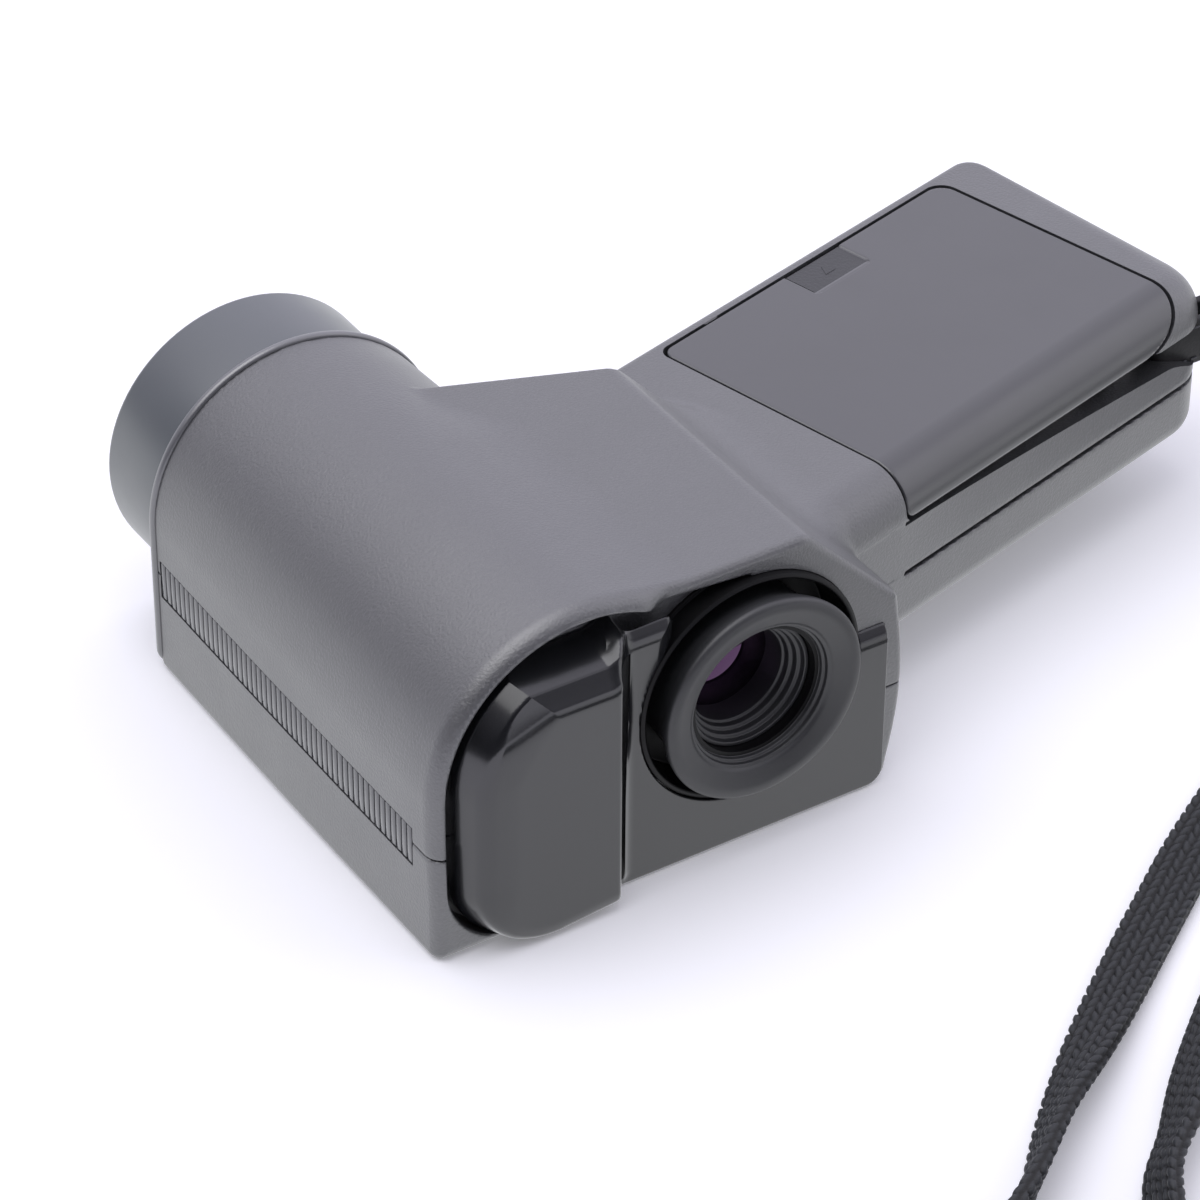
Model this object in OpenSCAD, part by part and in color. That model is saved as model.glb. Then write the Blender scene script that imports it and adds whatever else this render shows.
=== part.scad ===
// Pistol-grip spot exposure meter, lying on its display side.
// Meter axes while drawing: X from the top face down to the grip's end,
// Y from the back face forward along the lens axis, Z up from the table.

/* [Case] */
// Radius of the round lens housing
housing_r = 23; // [21.5:0.5:26]
// Height of the lens axis above the face that the meter lies on
axis_z = 25; // [24:0.5:28]
// Length of the lens housing behind its front panel
housing_len = 73; // [70:0.5:80]
// Wall of the two case shells
wall = 2; // [1.6:0.1:2.4]
// Height of the joint line between the two shells
seam_z = 15; // [13.5:0.5:17]
// Height of the flat shoulder beside the housing
shoulder_z = 45; // [43:0.5:46]
// Distance of the shoulder's lower edge from the top face
shoulder_x = 58; // [56:0.5:62]
// Width and height of the 45 degree slope below the shoulder
slope = 15; // [13:0.5:17]
// Depth of the shoulder, back face to front, beside the housing
shoulder_len = 51.5; // [50:0.5:54]
// Lean of the shoulder's front
front_lean = 21; // [15:1:25]
// Radius of the case's long lower edge
edge_r = 3; // [2.5:0.5:4]
// Height of the lip round the back of the housing
lip_h = 2; // [1:0.5:3]
// Width of that lip
lip_w = 2.2; // [1.5:0.1:2.5]

/* [Grip] */
// Length of the grip along its own axis
grip_len = 76.5; // [75:0.5:84]
// Front to back size of the grip
grip_w = 47; // [46:0.5:50]
// Height of the grip's lower face
grip_low = 10; // [8:0.5:11]
// Height of the grip's upper face
grip_high = 36; // [35.5:0.5:38]
// Height of the joint line along the grip
grip_seam = 20; // [19:0.5:20.5]
// Forward turn of the grip
grip_turn = 15; // [12:1:18]
// Plan radius of the grip's front end corner
grip_front_r = 5; // [3:0.5:8]
// Plan radius of the grip's back end corner
grip_back_r = 12; // [9:0.5:13]
// Radius of the long back edge, which the battery door follows
door_edge_r = 6.5; // [5:0.5:6.5]
// Size of the sloped edge over the grip's end
end_slope = 2.5; // [1:0.5:4]

/* [Lens] */
// Height of the optical axis below the housing's centre
lens_drop = 0.7; // [0:0.1:1]
// Shift of the optical axis towards the top face
lens_shift = 0.5; // [0:0.1:0.8]
// Outer radius of the lens barrel
barrel_r = 21; // [20:0.5:21.5]
// Length of the barrel in front of the panel
barrel_len = 14.3; // [12:0.1:18]
// Radius of the front lens
lens_r = 16.4; // [15.5:0.1:17]
// Thickness of the front panel
panel_t = 1.3; // [1:0.1:2]

/* [Eyepiece] */
// Distance of the eyepiece axis from the top face
eye_x = 48.8; // [47:0.2:50]
// Radius of the round recess that the eyepiece sits in
recess_r = 17.2; // [16.8:0.1:17.6]
// Radius of the rubber eyecup's rim
cup_r = 15.3; // [14.5:0.1:15.6]
// How far the eyecup stands behind the back face
cup_out = 4.8; // [4:0.1:6]
// Radius of the eyepiece opening
pupil_r = 6.7; // [6:0.1:7.2]
// Sight adjustment: travel of the lens cell each way
focus_travel = 1; // [0.5:0.1:1.2]

/* [Back cover] */
// How far the raised end of the back cover stands out
pod_h = 5.5; // [4:0.5:7]
// Thickness of the cover's flat part
plate_t = 1.2; // [1:0.1:1.8]
// Distance of the raised end's inner side from the top face
pod_x = 26.6; // [25:0.2:28]
// Height of the cover's top edge
cover_top = 41; // [39:0.5:41.5]

/* [Battery] */
// Diameter of the cell, size AA
cell_d = 14.5; // [13.5:0.1:14.5]
// Length of the cell with its button, size AA
cell_len = 50.5; // [49.5:0.1:50.5]
// Thickness of the battery door
door_t = 1.8; // [1.5:0.1:2.2]
// Distance that the door slides back to come off
door_travel = 12; // [8:1:16]

/* [Controls] */
// Length of the measuring button
trigger_len = 15; // [12:0.5:16]
// Height of the measuring button
trigger_h = 13; // [10:0.5:14]
// How far the measuring button stands out of the grip
trigger_out = 3; // [2.5:0.1:4]
// Travel of the measuring button
trigger_travel = 1.8; // [1:0.1:2]
// Size of a display key along X
key_x = 6; // [5:0.5:7]
// Size of a display key along Y
key_y = 8; // [6:0.5:9]
// Travel of a display key
key_travel = 0.5; // [0.3:0.1:0.6]
// Travel of the power switch
power_travel = 5; // [3:0.5:6]

/* [Display] */
// Size of the display window along X
window_x = 20; // [17:0.5:20.5]
// Size of the display window along Y
window_y = 44; // [36:1:46]

/* [Trim] */
// Number of ribs on the strip in the top face
rib_count = 50; // [30:1:60]
// Height of the ribbed strip
strip_h = 6.2; // [4:0.2:7]
// Length of the ribbed strip
strip_len = 68.4; // [60:0.2:69]

/* [Strap] */
// Width of the flat braided wrist strap
strap_w = 8; // [6:0.5:8]
// Thickness of the strap
strap_t = 2.4; // [1.6:0.2:2.4]
// Radius of the steel pin that the strap hangs on
pin_r = 1.2; // [1:0.1:1.4]

/* [Tripod socket] */
// Diameter of the socket's hole, 1/4 inch
socket_d = 6.35; // [6.35:0.05:6.45]
// Depth of the socket's hole
socket_len = 7; // [6:0.5:7.5]

/* [Hidden] */
$fn = 64;

// Clearances
fit = 0.05;
gap = 0.15;
slip = 0.3;
cut = 1;

// Places that follow from the driving sizes
axis_x = housing_r;
lens_x = axis_x - lens_shift;
lens_z = axis_z - lens_drop;
housing_x = 2 * housing_r;
side_draft = 2;
foot_in = 3;
side_x = shoulder_x + slope + side_draft;
foot_x = side_x - foot_in;
grip_x = shoulder_x + 8.3;
grip_y = shoulder_len + 6.4;
neck_len = 20;
step_x = side_x + 8;
panel_y = housing_len + panel_t;
barrel_y = panel_y + barrel_len;
total_x = grip_x + (grip_len - grip_back_r) * cos(grip_turn)
    + (grip_w - grip_back_r) * sin(grip_turn) + grip_back_r;
mid_x = total_x / 2;
mid_y = (barrel_y - pod_h) / 2;
far = 200;

// Outline helpers, all counter-clockwise
function arc(x, y, r, a0, a1, n = 10) =
    [for (k = [0:n]) [x + r * cos(a0 + (a1 - a0) * k / n), y + r * sin(a0 + (a1 - a0) * k / n)]];
function unit(v) = v / norm(v);
function left(v) = [-v[1], v[0]];
function corner(a, b, c, d) =
    let (u = unit(b - a), w = unit(c - b)) b + (left(u) + left(w)) * d / (1 + u * w);
function inset(p, d) =
    [for (k = [0:len(p) - 1]) corner(p[(k + len(p) - 1) % len(p)], p[k], p[(k + 1) % len(p)], d)];

// Outlines of the case
housing_pts = concat(arc(edge_r, edge_r, edge_r, 180, 270), [[housing_x, 0]],
    arc(axis_x, axis_z, housing_r, 0, 180, 60));
box_pts = [[axis_x, 0], [foot_x, 0], [side_x, seam_z], [shoulder_x + slope, shoulder_z - slope],
    [shoulder_x, shoulder_z], [axis_x, shoulder_z]];
function front_y(x) = shoulder_len - (x - housing_x) * tan(front_lean);
box_plan = [[axis_x, 0], [side_x + foot_in, 0], [side_x + foot_in, front_y(side_x + foot_in)],
    [axis_x, front_y(axis_x)]];

// Outlines of the grip in its own axes: X along it, Y to its front
grip_foot_r = 4;
grip_top_r = 2.5;
grip_sec = concat(arc(grip_foot_r - grip_w, grip_low + grip_foot_r, grip_foot_r, 180, 270),
    arc(-grip_foot_r, grip_low + grip_foot_r, grip_foot_r, 270, 360),
    arc(-grip_top_r, grip_high - grip_top_r, grip_top_r, 0, 90),
    arc(door_edge_r - grip_w, grip_high - door_edge_r, door_edge_r, 90, 180));
grip_plan = concat([[-neck_len, -grip_w]],
    arc(grip_len - grip_back_r, grip_back_r - grip_w, grip_back_r, 270, 360),
    arc(grip_len - grip_front_r, -grip_front_r, grip_front_r, 0, 90), [[-neck_len, 0]]);

// Battery door and the shelf that it lies on
door_s1 = grip_len - 9;
door_s0 = door_s1 - cell_len - 11;
door_front = 1.8;
door_low = grip_high - door_edge_r;
shelf_z = grip_high - door_t - gap;
shelf_low = shelf_z - wall;
tongue = 1;
function door_core(d) = concat([[0, grip_low], [0, grip_high - d]],
    arc(door_edge_r - grip_w, grip_high - door_edge_r, door_edge_r - d, 90, 180),
    [[d - grip_w, grip_low]]);

// Cove under the door along the grip's back
cove_in = 3.2;
cove_top = door_low - 0.6;
cove_mid = door_low - 4;
cove_low = grip_seam + 0.6;

// Hollow of the grip
hollow_y = -grip_w + cove_in + wall;
hollow_end = grip_len - 10;
waist_s = grip_len - 28.5;
waist_y = -grip_w + 13;

// Battery, lying along the grip
cell_r = cell_d / 2;
cell_y = waist_y + 10;
cell_z = shelf_low - cell_r - 0.2;
tray_s0 = door_s0 + 0.4;
tray_wall = 1.6;
contact_t = 0.4;
cell_s0 = tray_s0 + tray_wall + contact_t + gap;
cell_s1 = cell_s0 + cell_len;
spring_len = 4.6;
tray_s1 = cell_s1 + gap + spring_len + contact_t + tray_wall;

// Strap pocket and pin at the grip's back end corner
pin_s = grip_len - 8;
pin_y = -grip_w + 5.5;
pocket_low = grip_seam + 0.6;
pocket_top = door_low - 0.4;
eye_len = 16;
eye_r = strap_t + 0.3;

// Measuring button on the front of the neck
trigger_s = -3.5;
trigger_z = 24;
flange = 1.3;
flange_t = 1.6;
stem_r = 2;
stem_len = 3;
switch_y = -wall - gap - flange_t - stem_len - trigger_travel - 0.3;
switch_d = 4;
switch_s = 9;
switch_z = 8;

// Display side, counted up from the table
key_proud = 0.4;
key_flange = 0.8;
flange_z = wall + 0.1;
key_stem = 0.6;
tact_z = flange_z + key_flange + key_stem + key_travel + 0.15;
board_z = tact_z + 0.8;
board_t = 1.6;
frame_z = board_z + board_t + 2.3;
frame_t = 2;
window_x0 = 10.5;
window_y0 = 13;
key_rows = [window_x0 + window_x + key_x / 2 + 5, window_x0 + window_x + key_x * 1.5 + 8];
key_cols = [16, 28, 40];
power_x = key_rows[1] + key_x / 2 + 7.5;
power_y = key_cols[0];
knob_x = 4;
knob_y = 6;

// Screws: four in the body, one in the grip
screw_r = 1.1;
head_r = 2.2;
head_t = 1.6;
head_z = 0.7;
post_r = 3;
body_screws = [[wall + 4, wall + 6], [wall + 4, housing_len - 17], [housing_x - 6, housing_len - 17],
    [side_x - 9, wall + 14]];
screw_len = 20;
grip_screw = [grip_len - 6.5, -30.5];

// Lens barrel stations along the axis
spigot_r = lens_r + 1.1;
spigot_y = panel_y - 14;
cell_bore = lens_r - 1;
stop_r = lens_r - 2.9;
stop_t = 3;
rear_lens_y = spigot_y + stop_t;
rear_lens_t = 3;
front_lens_y = panel_y + 2.5;
front_lens_t = 4;
lens_ring_t = 2;
nut_t = 2.5;
mouth_y = front_lens_y + front_lens_t + lens_ring_t + 0.5;

// Mirrors and eyepiece stations
fold_y = 36;
mirror_w = 28;
mirror_t = 1.5;
mirror_h = 27;
floor_y = 6;
floor_t = 2;
ring_r = cup_r - 4;
ring_bore = pupil_r + 2.7;
ring_end = 12;
cell_end = 14;

// Places a shape from the meter's axes into the part's frame
module stand() translate([-mid_x, -mid_y, 0]) children();
// Grip axes: X along the grip, Y to its front
module grip_axes() translate([grip_x, grip_y, 0]) rotate([0, 0, grip_turn]) children();
// Extrudes an X-Z outline along Y
module slab(y0, y1) translate([0, y1, 0]) rotate([90, 0, 0]) linear_extrude(y1 - y0) children();
// Extrudes a grip section along the grip
module along_grip(s0, s1) translate([s0, 0, 0]) rotate([90, 0, 90]) linear_extrude(s1 - s0) children();
// Stands a lathe shape on the eyepiece axis, pointing forward from y
module along_eye(y) translate([eye_x, y, axis_z]) rotate([-90, 0, 0]) children();
// Stands a lathe shape on the optical axis, pointing forward from y
module along_lens(y) translate([lens_x, y, lens_z]) rotate([-90, 0, 0]) children();
// Tube along local Z from z0 to z1
module tube(r, bore, z0, z1) difference() {
    translate([0, 0, z0]) cylinder(r = r, h = z1 - z0);
    translate([0, 0, z0 - cut]) cylinder(r = bore, h = z1 - z0 + 2 * cut);
}
// Box from one corner to the other
module box(a, b) translate(a) cube(b - a);
// Round bar along Z
module bar(x, y, r, z0, z1) translate([x, y, z0]) cylinder(r = r, h = z1 - z0);

// Outer form of the grip
module grip_form() grip_axes() difference() {
    intersection() {
        along_grip(-neck_len, grip_len) polygon(grip_sec);
        linear_extrude(far) polygon(grip_plan);
        slab(-far, far) polygon([[-neck_len, 0], [grip_len, 0], [grip_len, grip_high - end_slope],
            [grip_len - end_slope, grip_high], [-neck_len, grip_high]]);
    }
    along_grip(door_s0 - 3, grip_len + cut) polygon([[-grip_w - cut, cove_low],
        [-grip_w + cove_in, cove_mid], [-grip_w + cove_in, cove_top], [-grip_w - cut, cove_top]]);
}

// Outer form of the whole case with both shells together
module case_form() {
    slab(0, housing_len) polygon(housing_pts);
    intersection() {
        slab(-lip_h, 0) difference() {
            polygon(housing_pts);
            polygon(inset(housing_pts, lip_w));
        }
        box([-cut, -far / 2, -cut], [pod_x, far, far]);
    }
    intersection() {
        slab(0, far / 2) polygon(box_pts);
        linear_extrude(far) polygon(box_plan);
    }
    grip_form();
}

// Hollow inside the case
module case_hollow() {
    slab(wall, housing_len + cut) polygon(inset(housing_pts, wall));
    intersection() {
        slab(wall, far / 2) polygon(inset(box_pts, wall));
        linear_extrude(far) polygon(inset(box_plan, wall));
    }
    grip_axes() {
        box([wall - neck_len, hollow_y, grip_low + wall], [waist_s, -wall, shelf_low]);
        box([waist_s - cut, waist_y, grip_low + wall], [hollow_end, -wall, shelf_low]);
        box([hollow_end - cut, waist_y + 10, grip_low + wall], [grip_len - wall, -wall, bush_z - bush_r - wall]);
    }
}

// Half space of the upper or the lower shell, which meet at a stepped joint
module upper_space() {
    box([-cut, -far / 2, seam_z], [step_x, far, far]);
    box([step_x - cut, -far / 2, grip_seam], [far, far, far]);
}
module lower_space() {
    box([-cut, -far / 2, -cut], [step_x, far, seam_z]);
    box([step_x, -far / 2, -cut], [far, far, grip_seam]);
}

// Cuts that both shells share
module shared_cuts() {
    along_eye(-far / 2) cylinder(r = recess_r, h = far / 2 + wall + cut);
    strip_block(0);
    grip_axes() bar(pin_s, pin_y, pin_r + fit, grip_low + wall, pocket_top + wall);
    grip_axes() bar(grip_screw[0], grip_screw[1], screw_r + fit, grip_low, grip_low + head_z + head_t + screw_len + gap);
}

// Slot of the ribbed strip in the top face
strip_t = 1;
strip_y0 = (housing_len - strip_len) / 2 + 1.4;
module strip_block(play) box([-cut, strip_y0 + play, seam_z + 1 - strip_h / 2 + play],
    [strip_t - play, strip_y0 + strip_len - play, seam_z + 1 + strip_h / 2 - play]);

// Openings for the battery door, its shelf and its side grooves
module door_cuts() grip_axes() {
    difference() {
        box([door_s0, -grip_w - cut, door_low], [door_s1, -door_front, far]);
        along_grip(0, grip_len) polygon(door_core(door_t + gap));
    }
    box([door_s0 - tongue - gap, -grip_w - cut, shelf_z], [door_s1 + tongue + gap, -grip_w / 4, shelf_z + tongue]);
    box([cell_s0 - gap, cell_y - cell_r - gap, shelf_low - cut], [tray_s1 - tray_wall, cell_y + cell_r + gap, far]);
}

// Pocket for the strap at the grip's back end corner
module strap_pocket() grip_axes() translate([0, 0, pocket_low])
    linear_extrude(pocket_top - pocket_low) polygon([[waist_s, -grip_w - cut], [grip_len + cut, -grip_w - cut],
        [grip_len + cut, pin_y + 7], [pin_s - eye_r - 1, pin_y + eye_r + 1.5], [waist_s, cove_in - grip_w]]);

// Upper shell: the meter's right side, with the grip's battery opening
module right_case() stand() color("#3f4146") difference() {
    union() {
        difference() {
            intersection() {
                case_form();
                upper_space();
            }
            case_hollow();
        }
        intersection() {
            case_form();
            for (p = body_screws) bar(p[0], p[1], post_r, frame_z + frame_t, far);
        }
    }
    shared_cuts();
    door_cuts();
    strap_pocket();
    for (p = body_screws) bar(p[0], p[1], screw_r + fit, frame_z, head_z + head_t + screw_len + cut);
    grip_axes() {
        translate([trigger_s, -wall - cut, trigger_z - trigger_h / 2 - slip])
            translate([-trigger_len / 2 - slip, 0, 0])
            cube([trigger_len + 2 * slip, wall + 2 * cut, trigger_h + 2 * slip]);
        bush_place() cylinder(r = bush_r + fit, h = bush_len + cut);
    }
}

// Lower shell: the display side that the meter lies on
module left_case() stand() color("#3a3c41") difference() {
    union() {
        difference() {
            intersection() {
                case_form();
                lower_space();
            }
            case_hollow();
        }
        for (p = body_screws) bar(p[0], p[1], post_r, cut, frame_z);
        for (p = board_posts) bar(p[0], p[1], stem_r, cut, board_z);
        grip_axes()
            bar(trigger_s, switch_y - switch_d / 2, stem_r, grip_low + wall - cut, trigger_z - switch_z / 2);
    }
    shared_cuts();
    for (p = body_screws) {
        bar(p[0], p[1], screw_r + fit, -cut, frame_z + cut);
        bar(p[0], p[1], head_r + gap, -cut, head_z + head_t);
    }
    grip_axes() bar(grip_screw[0], grip_screw[1], head_r + gap, grip_low - cut, grip_low + head_z + head_t);
    box([window_x0, window_y0, -cut], [window_x0 + window_x, window_y0 + window_y, wall + cut]);
    for (x = key_rows, y = key_cols) box([x - key_x / 2 - slip, y - key_y / 2 - slip, -cut],
        [x + key_x / 2 + slip, y + key_y / 2 + slip, wall + cut]);
    box([power_x - knob_x / 2 - slip, power_y - knob_y / 2 - slip, -cut],
        [power_x + knob_x / 2 + slip, power_y + knob_y / 2 + power_travel + slip, wall + cut]);
}

// Front panel that closes the housing round the barrel
module front_panel() stand() color("#4a4d52") difference() {
    slab(housing_len, panel_y) polygon(housing_pts);
    along_lens(housing_len - cut) cylinder(r = spigot_r + fit, h = panel_t + 2 * cut);
}

// Strip of fine ribs let into the top face across the joint line
rib_depth = 0.4;
module ribbed_strip() stand() color("#4b4d51") {
    pitch = (strip_len - 2 * gap) / rib_count;
    y0 = strip_y0 + gap;
    comb = concat([for (k = [0:rib_count - 1], q = [[0, 0], [0, 0.5], [rib_depth, 0.6], [rib_depth, 0.9]])
        [q[0], y0 + (k + q[1]) * pitch]], [[strip_t - fit, y0 + strip_len - 2 * gap], [strip_t - fit, y0]]);
    translate([0, 0, seam_z + 1 - strip_h / 2 + gap]) linear_extrude(strip_h - 2 * gap) polygon(comb);
}

// Lens barrel with its spigot through the panel
module lens_barrel() stand() color("#4c5358") along_lens(0) difference() {
    union() {
        translate([0, 0, panel_y]) cylinder(r = barrel_r, h = barrel_len);
        translate([0, 0, spigot_y]) cylinder(r = spigot_r, h = panel_y - spigot_y + cut);
    }
    translate([0, 0, spigot_y - cut]) cylinder(r = stop_r, h = far / 2);
    translate([0, 0, rear_lens_y]) cylinder(r = cell_bore, h = far / 2);
    translate([0, 0, front_lens_y]) cylinder(r = lens_r + fit, h = far / 2);
    translate([0, 0, front_lens_y + front_lens_t]) cylinder(r = lens_r + 2, h = far / 2);
    translate([0, 0, mouth_y]) cylinder(r = barrel_r - wall, h = far / 2);
}

// Nut that holds the barrel behind the panel
module barrel_nut() stand() color("#2c2d30") along_lens(0)
    tube(housing_r - wall - slip - lens_drop - lens_shift, spigot_r + fit, housing_len - nut_t, housing_len);

// Front lens: a round plano-convex glass with a flat rim
module front_lens() stand() color("#9fc0d8", 0.5) along_lens(front_lens_y) {
    cylinder(r = lens_r, h = front_lens_t);
    translate([0, 0, front_lens_t]) dome(lens_r - 1.8, 1.8);
}

// Spherical cap of radius a and height h on Z = 0
module dome(a, h) {
    r = (a * a + h * h) / (2 * h);
    intersection() {
        translate([0, 0, h - r]) sphere(r = r);
        cylinder(r = a, h = h);
    }
}

// Threaded ring in front of the front lens
module lens_ring() stand() color("#1f2023") along_lens(front_lens_y + front_lens_t)
    tube(lens_r + 2 - fit, lens_r - 1.6, 0, lens_ring_t);

// Tube that keeps the two lenses apart
module lens_spacer() stand() color("#1f2023") along_lens(0)
    tube(cell_bore - fit, stop_r, rear_lens_y + rear_lens_t, front_lens_y);

// Rear lens of the objective
module rear_lens() stand() color("#a8c4da", 0.5) along_lens(rear_lens_y)
    cylinder(r = cell_bore - fit, h = rear_lens_t);

// Turns a mirror's own axes to 45 degrees across the light path
module mirror_axes(x) translate([x, fold_y, frame_z + frame_t]) rotate([0, 0, -45]) children();

// Frame that carries the mirrors, the reticle and the photocell
cell_wall_y = 9;
reticle_r = 8;
module optical_frame() stand() color("#26272a") difference() {
    union() {
        box([wall + slip, wall + 3, frame_z], [housing_x - wall - slip, spigot_y - slip, frame_z + frame_t]);
        box([axis_x, floor_y + 9, frame_z], [side_x - 6, front_y(side_x) - wall - slip, frame_z + frame_t]);
        box([axis_x - 10, cell_wall_y - 2, frame_z], [axis_x + 6, cell_wall_y, axis_z + 8]);
        box([eye_x - 13.8, fold_y - 8, frame_z], [eye_x - 12, fold_y + 8, axis_z + 9]);
        mirror_axes(lens_x) mirror_holder(-1);
        mirror_axes(eye_x) mirror_holder(1);
    }
    for (p = body_screws) bar(p[0], p[1], screw_r + fit, frame_z - cut, frame_z + frame_t + cut);
    translate([eye_x - far / 2, fold_y, axis_z]) rotate([0, 90, 0]) cylinder(r = reticle_r - 1, h = far);
    along_lens(cell_wall_y - 2 - cut) cylinder(r = 2, h = 2 + 2 * cut);
    along_eye(-far / 2) cylinder(r = recess_r + 1, h = far / 2 + floor_y + floor_t + cut);
}

// Foot and two posts behind a mirror, on the side given by the sign
module mirror_holder(side) {
    depth = 2.4;
    y0 = side > 0 ? mirror_t / 2 : -mirror_t / 2 - depth;
    for (x = [-mirror_w / 2, mirror_w / 2 - 2]) translate([x, y0, -cut]) cube([2, depth, mirror_h + cut]);
    translate([-mirror_w / 2, y0, -cut]) cube([mirror_w, depth, 2 + cut]);
}

// Half-silvered plate that sends part of the light to the finder
module beam_splitter() stand() color("#b9c6cc", 0.6) mirror_axes(lens_x) mirror_plate();
// Second mirror, in front of the eyepiece
module finder_mirror() stand() color("#c3cbd0") mirror_axes(eye_x) mirror_plate();
module mirror_plate() translate([-mirror_w / 2, -mirror_t / 2, 0]) cube([mirror_w, mirror_t, mirror_h]);

// Glass with the measuring circle, on the frame's upright
module reticle_plate() stand() color("#cfdbe0", 0.5) translate([eye_x - 12, fold_y, axis_z]) rotate([0, 90, 0])
    cylinder(r = reticle_r, h = mirror_t);

// Light cell in its can, behind the half-silvered plate
module photocell() stand() color("#8d9196") along_lens(cell_wall_y) {
    cylinder(r = 5, h = 1);
    cylinder(r = 4, h = 4);
    translate([0, 0, -3]) cylinder(r = 1.2, h = 3);
}

// Back cover: a raised end at the top and a flat plate round the eyepiece
pod_r = 11;
pod_low_r = 9;
cover_low = lip_w + 0.5;
pod_x0 = lip_w + 2.3;
plate_x = side_x - 4;
plate_top = 26.5;
pod_pts = concat(arc(pod_x0 + pod_low_r, cover_low + pod_low_r, pod_low_r, 180, 270),
    [[pod_x, cover_low], [pod_x, cover_top]],
    arc(pod_x0 + pod_r, cover_top - pod_r, pod_r, 90, 180));
plate_pts = concat([[pod_x - cut, cover_low]], arc(plate_x - 3, cover_low + 3, 3, 270, 360),
    [[plate_x, plate_top], [eye_x - 12, plate_top], [eye_x - 12, cover_top], [pod_x - cut, cover_top]]);
module rear_cover() stand() color("#2f3134") difference() {
    union() {
        slab(-pod_h, 0) polygon(pod_pts);
        slab(-plate_t, 0) polygon(plate_pts);
    }
    slab(wall - pod_h, cut) polygon(inset(pod_pts, wall));
    along_eye(-far / 2) cylinder(r = recess_r, h = far);
}

// Cup that lines the round recess and carries the focus ring
module eyepiece_seat() stand() color("#141416") along_eye(0) {
    tube(recess_r - fit, recess_r - 1, -plate_t, floor_y + floor_t);
    tube(recess_r - fit, ring_r + 0.08, floor_y, floor_y + floor_t);
    tube(recess_r + 0.5, recess_r - 1, wall, wall + 1.5);
}

// Sleeve that turns to focus the eyepiece
module focus_ring() stand() color("#17181a") along_eye(0) {
    tube(ring_r - 0.5, ring_bore, -2, floor_y - gap);
    tube(ring_r, ring_bore, floor_y - gap, floor_y + floor_t + gap);
    tube(ring_r + 1.6, ring_bore, floor_y + floor_t + gap, floor_y + floor_t + 1.4);
    tube(ring_r - 0.5, ring_bore, floor_y + floor_t + 1.4, ring_end);
}

// Rubber eyecup with a flared rim and stepped mouth
module eyecup() stand() color("#303235") along_eye(0) rotate_extrude() polygon(concat(
    [[ring_r - 0.45, floor_y - slip], [ring_r - 0.45, -2.05], [ring_bore + 0.2, -2.05], [ring_bore + 0.2, -2.5],
    [ring_bore + 0.9, -2.5], [ring_bore + 0.9, -3.1], [ring_bore + 1.6, -3.1], [ring_bore + 1.6, -3.7]],
    arc(cup_r - 1.2, 1.2 - cup_out, 1.2, 270, 380, 8),
    [[ring_r + 1.6, floor_y - 2.5], [ring_r + 1.6, floor_y - slip]]));

// Tube that slides in the focus ring with the eyepiece lens
module lens_cell() stand() color("#101113") along_eye(0) {
    tube(ring_bore - 0.06, pupil_r + 1.2, -0.6, cell_end);
    tube(ring_bore - 0.06, pupil_r, -0.6, 3);
}

// Coated eyepiece lens
module eyepiece_lens() stand() color("#8a6c9a", 0.6) along_eye(3) {
    cylinder(r = pupil_r + 1.2 - fit, h = 3);
    translate([0, 0, 3]) dome(pupil_r - 0.2, 1.2);
}

// Circuit board with a small switch under each key
board_posts = [[wall + 9, wall + 3], [housing_x - 3, wall + 3], [wall + 4, housing_len - 30],
    [housing_x - 8, housing_len - 23]];
module main_board() stand() color("#2e5d3f") difference() {
    union() {
        box([wall + 2, wall + 1.5, board_z], [housing_x - 4, spigot_y - 2, board_z + board_t]);
        box([axis_x, wall + 1.5, board_z], [power_x + 3, front_y(power_x + 3) - wall - 1, board_z + board_t]);
        for (x = key_rows, y = key_cols) box([x - 2, y - 2, tact_z], [x + 2, y + 2, board_z + fit]);
    }
    for (p = body_screws) bar(p[0], p[1], post_r + slip, board_z - cut, board_z + board_t + cut);
    along_eye(-far / 2) cylinder(r = recess_r + 2, h = far / 2 + floor_y + floor_t + cut);
}

// Liquid crystal display behind the window
module display_panel() stand() color("#8c947f")
    box([window_x0 - 1, window_y0 - 1, wall], [window_x0 + window_x + 1, window_y0 + window_y + 1, board_z]);

// Clear window in the display side
module display_window() stand() color("#23282b", 0.6) box([window_x0 + gap, window_y0 + gap, 0.5],
    [window_x0 + window_x - gap, window_y0 + window_y - gap, wall]);

// Key cap with a flange that keeps it behind the case wall
module key(row, col) stand() color("#6f7377") translate([key_rows[row], key_cols[col], 0]) {
    box([-key_x / 2, -key_y / 2, key_proud], [key_x / 2, key_y / 2, flange_z + fit]);
    box([-key_x / 2 - flange, -key_y / 2 - flange, flange_z],
        [key_x / 2 + flange, key_y / 2 + flange, flange_z + key_flange]);
    bar(0, 0, 1.2, flange_z, flange_z + key_flange + key_stem);
}
module mode_key() key(0, 0);
module speed_key() key(0, 1);
module up_key() key(0, 2);
module memory_key() key(1, 0);
module clear_key() key(1, 1);
module down_key() key(1, 2);

// Power switch: a knob that slides in its slot
module power_switch() stand() color("#7a7d80") translate([power_x, power_y, 0]) {
    box([-knob_x / 2, -knob_y / 2, key_proud], [knob_x / 2, knob_y / 2, flange_z + fit]);
    box([-knob_x / 2 - flange, -knob_y / 2 - flange, flange_z],
        [knob_x / 2 + flange, knob_y / 2 + flange, flange_z + key_flange]);
    bar(0, 0, 1.2, flange_z, board_z - slip);
}

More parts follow.
